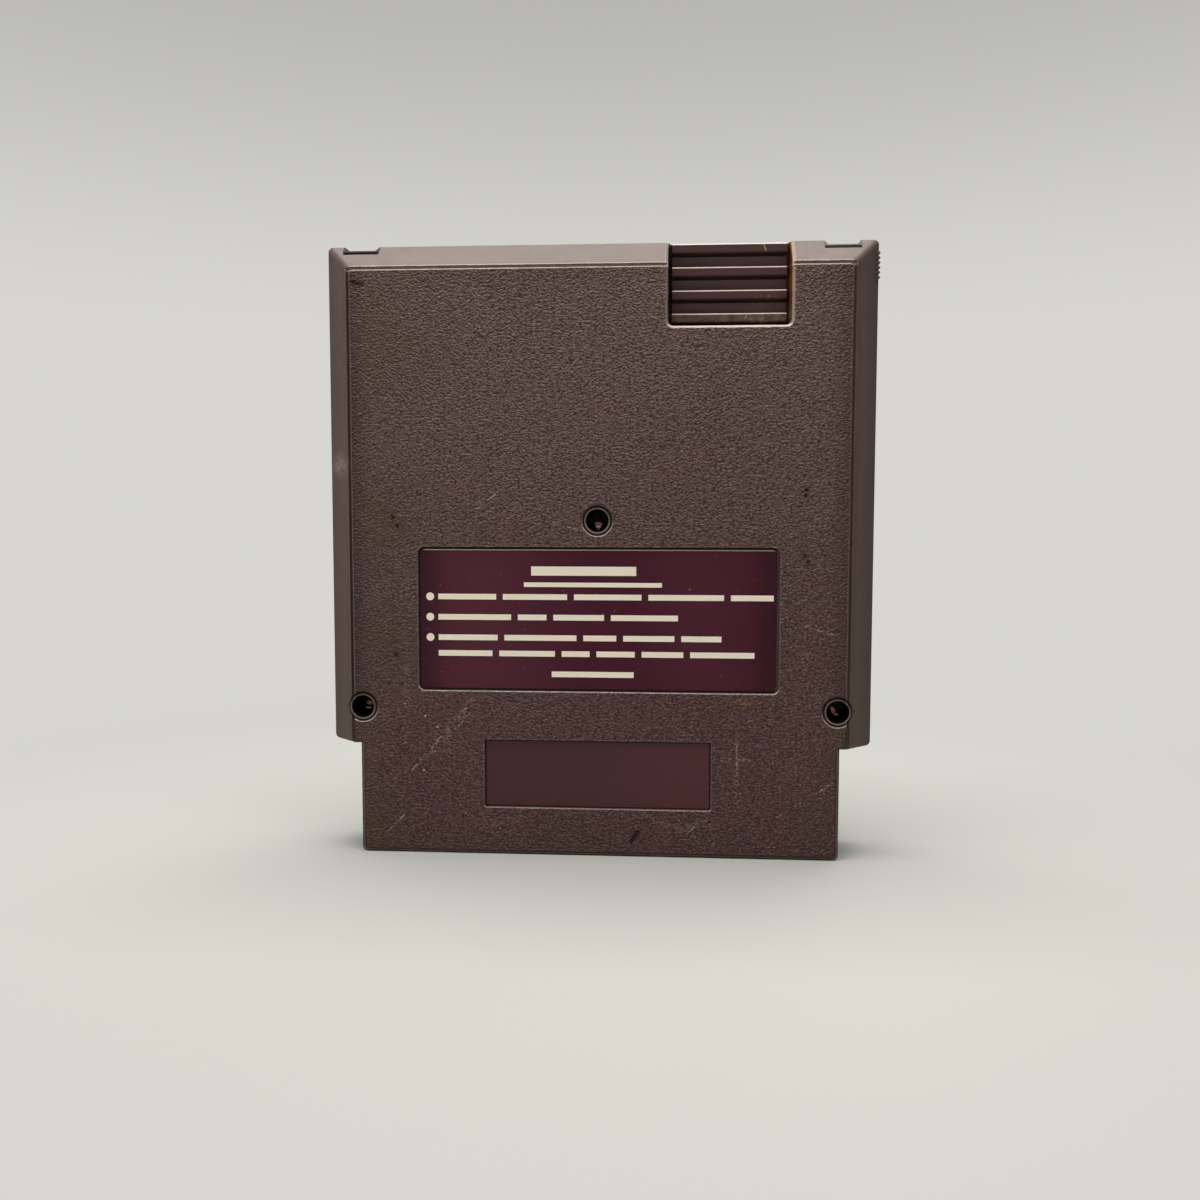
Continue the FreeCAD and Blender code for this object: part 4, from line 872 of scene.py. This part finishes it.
def worn_metal(name, colour, dull, low, high):
    """Plated metal with soft streaks of tarnish."""
    finish = Finish(name)
    streaks = finish.noise(1.0, 3.0, 0.6, finish.scaled(finish.place, (2.2, 2.2, 0.25)))
    tint = finish.blend(finish.rise(streaks, 0.48, 0.75), colour, shade(colour, dull))
    finish.set(base_color=tint, metallic=1.0, roughness=finish.level(streaks, low, high))
    finish.set(normal=finish.bump(finish.noise(0.25, 2.0), 0.004 * MM))
    return finish


def cloudy(name, colour, grain, depth, low, high):
    """A plain moulded or dipped finish: faint clouds of colour and a fine surface."""
    finish = Finish(name)
    clouds = finish.noise(3.0, 3.0, 0.6)
    tint = finish.blend(finish.rise(clouds, 0.3, 0.75), colour, shade(colour, 0.7))
    finish.set(base_color=tint, roughness=finish.level(clouds, low, high))
    finish.set(normal=finish.bump(finish.noise(grain, 2.0), depth * MM))
    return finish


class NodeShape:
    """A Geometry Nodes tree with named inputs for its sizes."""

    def __init__(self, name):
        self.tree = bpy.data.node_groups.new(name, "GeometryNodeTree")
        self.tree.is_modifier = True
        self.tree.interface.new_socket("Geometry", in_out="INPUT", socket_type="NodeSocketGeometry")
        self.tree.interface.new_socket("Geometry", in_out="OUTPUT", socket_type="NodeSocketGeometry")
        self.inputs = self.tree.nodes.new("NodeGroupInput")
        self.outputs = self.tree.nodes.new("NodeGroupOutput")
        self.settings = {}

    def size(self, name, default):
        """A named length input of the tree, and its output socket."""
        item = self.tree.interface.new_socket(name, in_out="INPUT", socket_type="NodeSocketFloat")
        item.subtype = "DISTANCE"
        self.settings[item.identifier] = default
        return next(socket for socket in self.inputs.outputs if socket.identifier == item.identifier)

    def node(self, kind, sources=None, **settings):
        node = self.tree.nodes.new(kind)
        for name, setting in settings.items():
            setattr(node, name, setting)
        for name, source in (sources or {}).items():
            socket = next(s for s in node.inputs if s.name == name and s.enabled)
            if isinstance(source, bpy.types.NodeSocket):
                self.tree.links.new(source, socket)
            else:
                socket.default_value = source
        return node

    def finish(self, geometry, material):
        """End the tree with real geometry that carries its material."""
        real = self.node("GeometryNodeRealizeInstances", {"Geometry": geometry})
        dressed = self.node("GeometryNodeSetMaterial", {"Geometry": real.outputs[0], "Material": material})
        self.tree.links.new(dressed.outputs[0], self.outputs.inputs[0])

    def piece(self, name, mesh):
        """Run the tree on a mesh and keep the result as a plain mesh object."""
        piece = bpy.data.objects.new(name, mesh)
        bpy.context.scene.collection.objects.link(piece)
        modifier = piece.modifiers.new(name, "NODES")
        modifier.node_group = self.tree
        for identifier, setting in self.settings.items():
            modifier[identifier] = setting
        evaluated = piece.evaluated_get(bpy.context.evaluated_depsgraph_get())
        made = bpy.data.meshes.new_from_object(evaluated)
        if len(made.polygons) == 0:
            raise RuntimeError(f"{name} came out empty")
        piece.modifiers.clear()
        piece.data = made
        made.name = name
        bpy.data.meshes.remove(mesh)
        return piece


def point_mesh(name, points, sizes):
    """Loose points in the row frame, each with the size of the shape that it gets."""
    mesh = bpy.data.meshes.new(name)
    mesh.from_pydata([tuple(point * MM) for point in points], [], [])
    field = mesh.attributes.new("shape_size", "FLOAT_VECTOR", "POINT")
    field.data.foreach_set("vector", [part * MM for size in sizes for part in size])
    return mesh


def flat_print(name, points, sizes, round_shape, look, ink):
    """Printed shapes of one kind, dashes or dots, lying on the sticker and facing the rear."""
    shape = NodeShape(name)
    thickness = shape.size("Ink thickness", look.ink_thickness)
    if round_shape:
        unit = shape.node("GeometryNodeMeshCircle", {"Vertices": 32, "Radius": 0.5}, fill_type="NGON")
    else:
        sides = {"Size X": 1.0, "Size Y": 1.0, "Vertices X": 2, "Vertices Y": 2}
        unit = shape.node("GeometryNodeMeshGrid", sides)
    size = shape.node("GeometryNodeInputNamedAttribute", {"Name": "shape_size"}, data_type="FLOAT_VECTOR")
    placed = shape.node(
        "GeometryNodeInstanceOnPoints",
        {
            "Points": shape.inputs.outputs[0],
            "Instance": unit.outputs[0],
            "Rotation": (math.pi / 2, 0.0, 0.0),
            "Scale": size.outputs[0],
        },
    )
    real = shape.node("GeometryNodeRealizeInstances", {"Geometry": placed.outputs[0]})
    thick = shape.node(
        "GeometryNodeExtrudeMesh",
        {"Mesh": real.outputs[0], "Offset Scale": thickness, "Individual": False},
    )
    shape.finish(thick.outputs[0], ink.material)
    return shape.piece(name, point_mesh(name, points, sizes))


def word_dashes(start, end, rng):
    """Break a printed row into dashes of uneven length, as (middle, length) pairs."""
    dashes = []
    left = start
    while left < end - SHORTEST_DASH:
        length = min(rng.uniform(*DASH_LENGTHS), end - left)
        dashes.append((left + length / 2, length))
        left += length + DASH_GAP
    return dashes


def show_far_wall(finish, look):
    """Show the far floor and the wall at one even brightness, without lighting the cartridge with them."""
    reach = finish.vector("LENGTH", finish.scaled(finish.place, (1.0, 1.0, 0.0)))
    far = finish.rise(reach, *FLOOR_FADE)
    rays = finish.nodes.new("ShaderNodeLightPath").outputs
    seen = finish.most(rays["Is Camera Ray"], rays["Is Glossy Ray"], rays["Is Transmission Ray"])
    paper = finish.nodes.new("ShaderNodeEmission")
    tone = finish.blend(finish.rise(finish.z, *WALL_FADE), look.wall, look.wall_top)
    finish.feed(paper.inputs["Color"], tone)
    mixer = finish.nodes.new("ShaderNodeMixShader")
    finish.feed(mixer.inputs[0], finish.times(far, seen))
    finish.feed(mixer.inputs[1], finish.shader.outputs[0])
    finish.feed(mixer.inputs[2], paper.outputs[0])
    finish.feed(finish.nodes["Material Output"].inputs["Surface"], mixer.outputs[0])


def backdrop(look):
    """A pale round floor that curves up into a wall on every side."""
    finish = Finish("backdrop_paper")
    finish.set(base_color=look.floor, roughness=0.9, specular_ior_level=0.1)
    show_far_wall(finish, look)
    floor_radius, bend_radius, wall_top = 0.75, 0.55, 1.9
    bend_steps, sides = 16, 96
    profile = []
    for step in range(bend_steps + 1):
        angle = math.radians(90) * step / bend_steps
        profile.append((floor_radius + bend_radius * math.sin(angle), bend_radius * (1 - math.cos(angle))))
    profile.append((floor_radius + bend_radius, wall_top))
    turns = [2 * math.pi * side / sides for side in range(sides)]
    points = [(0.0, 0.0, 0.0)]
    for radius, height in profile:
        points += [(radius * math.cos(turn), radius * math.sin(turn), height) for turn in turns]
    faces = [(0, 1 + side, 1 + (side + 1) % sides) for side in range(sides)]
    for ring in range(len(profile) - 1):
        low, high = 1 + ring * sides, 1 + (ring + 1) * sides
        for side in range(sides):
            after = (side + 1) % sides
            faces.append((low + side, high + side, high + after, low + after))
    mesh = bpy.data.meshes.new("backdrop")
    mesh.from_pydata(points, [], faces)
    mesh.shade_smooth()
    mesh.materials.append(finish.material)
    floor = bpy.data.objects.new("backdrop", mesh)
    bpy.context.scene.collection.objects.link(floor)
    return floor


def soft_box(name, place, target, size, power):
    """A rectangular light that faces its target and that the camera doesn't see."""
    lamp = bpy.data.lights.new(name, "AREA")
    lamp.shape = "RECTANGLE"
    lamp.size, lamp.size_y = size
    lamp.energy = power
    lamp.color = LAMP_COLOUR
    holder = bpy.data.objects.new(name, lamp)
    holder.location = place
    holder.rotation_mode = "QUATERNION"
    holder.rotation_quaternion = (Vector(target) - Vector(place)).to_track_quat("-Z", "Y")
    holder.visible_camera = False
    bpy.context.scene.collection.objects.link(holder)


def photo_camera(look):
    """The camera, a little above the middle and to the right, looking down slightly."""
    right = Vector((0.997465, 0.071144, 0.001113))
    up = Vector((-0.006466, 0.075056, 0.997158))
    forward = Vector((-0.070858, 0.994638, -0.075326))
    lens = bpy.data.cameras.new("photo_camera")
    lens.lens = look.lens
    lens.sensor_width = 36.0
    lens.clip_start = 0.01
    camera = bpy.data.objects.new("photo_camera", lens)
    bpy.context.scene.collection.objects.link(camera)
    turn = Matrix((right, up, -forward)).transposed().to_4x4()
    camera.matrix_world = Matrix.Translation(CAMERA_PLACE) @ turn
    return camera


class CARTRIDGE_OT_case(bpy.types.Operator):
    """Give both half shells their moulded plastic"""

    bl_idname = "cartridge.case"
    bl_label = "Case Plastic"

    def execute(self, context):
        look = context.scene.cartridge.case
        dress(rear_case_finish(look), "rear_shell")
        dress(front_case_finish(look), "front_shell")
        return {"FINISHED"}


class CARTRIDGE_OT_sticker(bpy.types.Operator):
    """Finish the sticker and print plain dashes and dots on it"""

    bl_idname = "cartridge.sticker"
    bl_label = "Sticker"

    def execute(self, context):
        look = context.scene.cartridge.sticker
        dress(sticker_film(look), "rear_label")
        ink = sticker_ink(look)
        middle = (STICKER_LOW + STICKER_HIGH) / 2
        face = STICKER_LOW.y - PRINT_LIFT
        rng = random.Random(PRINT_SEED)
        bars = [*TITLE_BARS]
        for up, end in DASH_ROWS:
            for across, length in word_dashes(ROW_START, end, rng):
                bars.append((across, up, length, look.dash_height / MM))
        bars.append(FOOT_BAR)
        places = [Vector((middle.x + across, face, middle.z + up)) for across, up, _, _ in bars]
        sizes = [(length, height, 1.0) for _, _, length, height in bars]
        dashes = flat_print("sticker_dashes", places, sizes, False, look, ink)
        dot = look.dot_diameter / MM
        bullets = [Vector((middle.x + DOT_PLACE, face, middle.z + up)) for up, _ in DASH_ROWS[:DOT_COUNT]]
        dots = flat_print("sticker_dots", bullets, [(dot, dot, 1.0)] * DOT_COUNT, True, look, ink)
        for piece in (dashes, dots):
            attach(piece, BODY)
        return {"FINISHED"}


class CARTRIDGE_OT_screws(bpy.types.Operator):
    """Give the case screws their rusty steel"""

    bl_idname = "cartridge.screws"
    bl_label = "Case Screws"

    def execute(self, context):
        dress(rusty_steel(context.scene.cartridge.board), "case_screws")
        return {"FINISHED"}


class CARTRIDGE_OT_board(bpy.types.Operator):
    """Finish the circuit board and its gold contacts"""

    bl_idname = "cartridge.board"
    bl_label = "Circuit Board"

    def execute(self, context):
        look = context.scene.cartridge.board
        dress(board_lacquer(look), "circuit_board")
        dress(worn_metal("contact_gold", look.gold, 0.55, 0.20, 0.40), "rear_contacts", "front_contacts")
        return {"FINISHED"}


class CARTRIDGE_OT_chips(bpy.types.Operator):
    """Finish the chips and their pins"""

    bl_idname = "cartridge.chips"
    bl_label = "Chips"

    def execute(self, context):
        look = context.scene.cartridge.board
        chips = ("program_chip", "graphics_chip", "lockout_chip")
        dress(cloudy("chip_epoxy", look.epoxy, 0.2, 0.02, 0.45, 0.65), *chips)
        tin = worn_metal("tinned_pins", look.tin, 0.6, 0.28, 0.48)
        dress(tin, *(f"{chip}_pins" for chip in chips))
        return {"FINISHED"}


class CARTRIDGE_OT_capacitors(bpy.types.Operator):
    """Finish the ceramic beads and the round capacitor"""

    bl_idname = "cartridge.capacitors"
    bl_label = "Capacitors"

    def execute(self, context):
        look = context.scene.cartridge.board
        ceramic = cloudy("dipped_ceramic", look.ceramic, 0.6, 0.02, 0.18, 0.32)
        dress(ceramic, "lower_ceramic_capacitor", "upper_ceramic_capacitor")
        dress(worn_metal("drawn_aluminium", look.tin, 0.8, 0.22, 0.36), "round_capacitor_can")
        dress(cloudy("shrink_sleeve", look.sleeve, 0.8, 0.01, 0.22, 0.36), "round_capacitor_sleeve")
        dress(cloudy("rubber_bung", look.epoxy, 0.3, 0.02, 0.60, 0.80), "round_capacitor_bung")
        leads = worn_metal("tinned_leads", look.tin, 0.7, 0.25, 0.42)
        dress(leads, "ceramic_capacitor_leads", "round_capacitor_leads")
        return {"FINISHED"}


class CARTRIDGE_OT_stage(bpy.types.Operator):
    """Set up the pale backdrop, the soft lights and the camera"""

    bl_idname = "cartridge.stage"
    bl_label = "Stage"

    def execute(self, context):
        look = context.scene.cartridge.stage
        backdrop(look)
        soft_box("top_light", *TOP_LIGHT, look.top_light)
        soft_box("left_light", *LEFT_LIGHT, look.left_light)
        soft_box("back_light", *BACK_LIGHT, look.back_light)
        sky = bpy.data.worlds.new("studio_room")
        sky.use_nodes = True
        room = sky.node_tree.nodes["Background"]
        room.inputs["Color"].default_value = ROOM_COLOUR
        room.inputs["Strength"].default_value = 1.0
        context.scene.world = sky
        context.scene.view_settings.view_transform = "Standard"
        context.scene.camera = photo_camera(look)
        return {"FINISHED"}


class CARTRIDGE_PT_pieces(bpy.types.Panel):
    """Lists the cartridge's pieces and their settings"""

    bl_idname = "CARTRIDGE_PT_pieces"
    bl_label = "Cartridge"
    bl_space_type = "VIEW_3D"
    bl_region_type = "UI"
    bl_category = "Cartridge"

    def draw(self, context):
        look = context.scene.cartridge
        for operator in OPERATORS:
            self.layout.operator(operator.bl_idname)
        for group in (look.case, look.sticker, look.board, look.stage):
            box = self.layout.box()
            for name in group.bl_rna.properties.keys():
                if name not in ("rna_type", "name"):
                    box.prop(group, name)


LOOKS = (CaseLook, StickerLook, BoardLook, StageLook, CartridgeLook)
OPERATORS = (
    CARTRIDGE_OT_case,
    CARTRIDGE_OT_sticker,
    CARTRIDGE_OT_screws,
    CARTRIDGE_OT_board,
    CARTRIDGE_OT_chips,
    CARTRIDGE_OT_capacitors,
    CARTRIDGE_OT_stage,
)
CLASSES = (*LOOKS, *OPERATORS, CARTRIDGE_PT_pieces)


def register():
    for item in CLASSES:
        bpy.utils.register_class(item)
    bpy.types.Scene.cartridge = bpy.props.PointerProperty(type=CartridgeLook)


def unregister():
    del bpy.types.Scene.cartridge
    for item in reversed(CLASSES):
        bpy.utils.unregister_class(item)


def main():
    register()
    bpy.ops.cartridge.case()
    bpy.ops.cartridge.sticker()
    bpy.ops.cartridge.screws()
    bpy.ops.cartridge.board()
    bpy.ops.cartridge.chips()
    bpy.ops.cartridge.capacitors()
    bpy.ops.cartridge.stage()


if __name__ == "__main__":
    main()
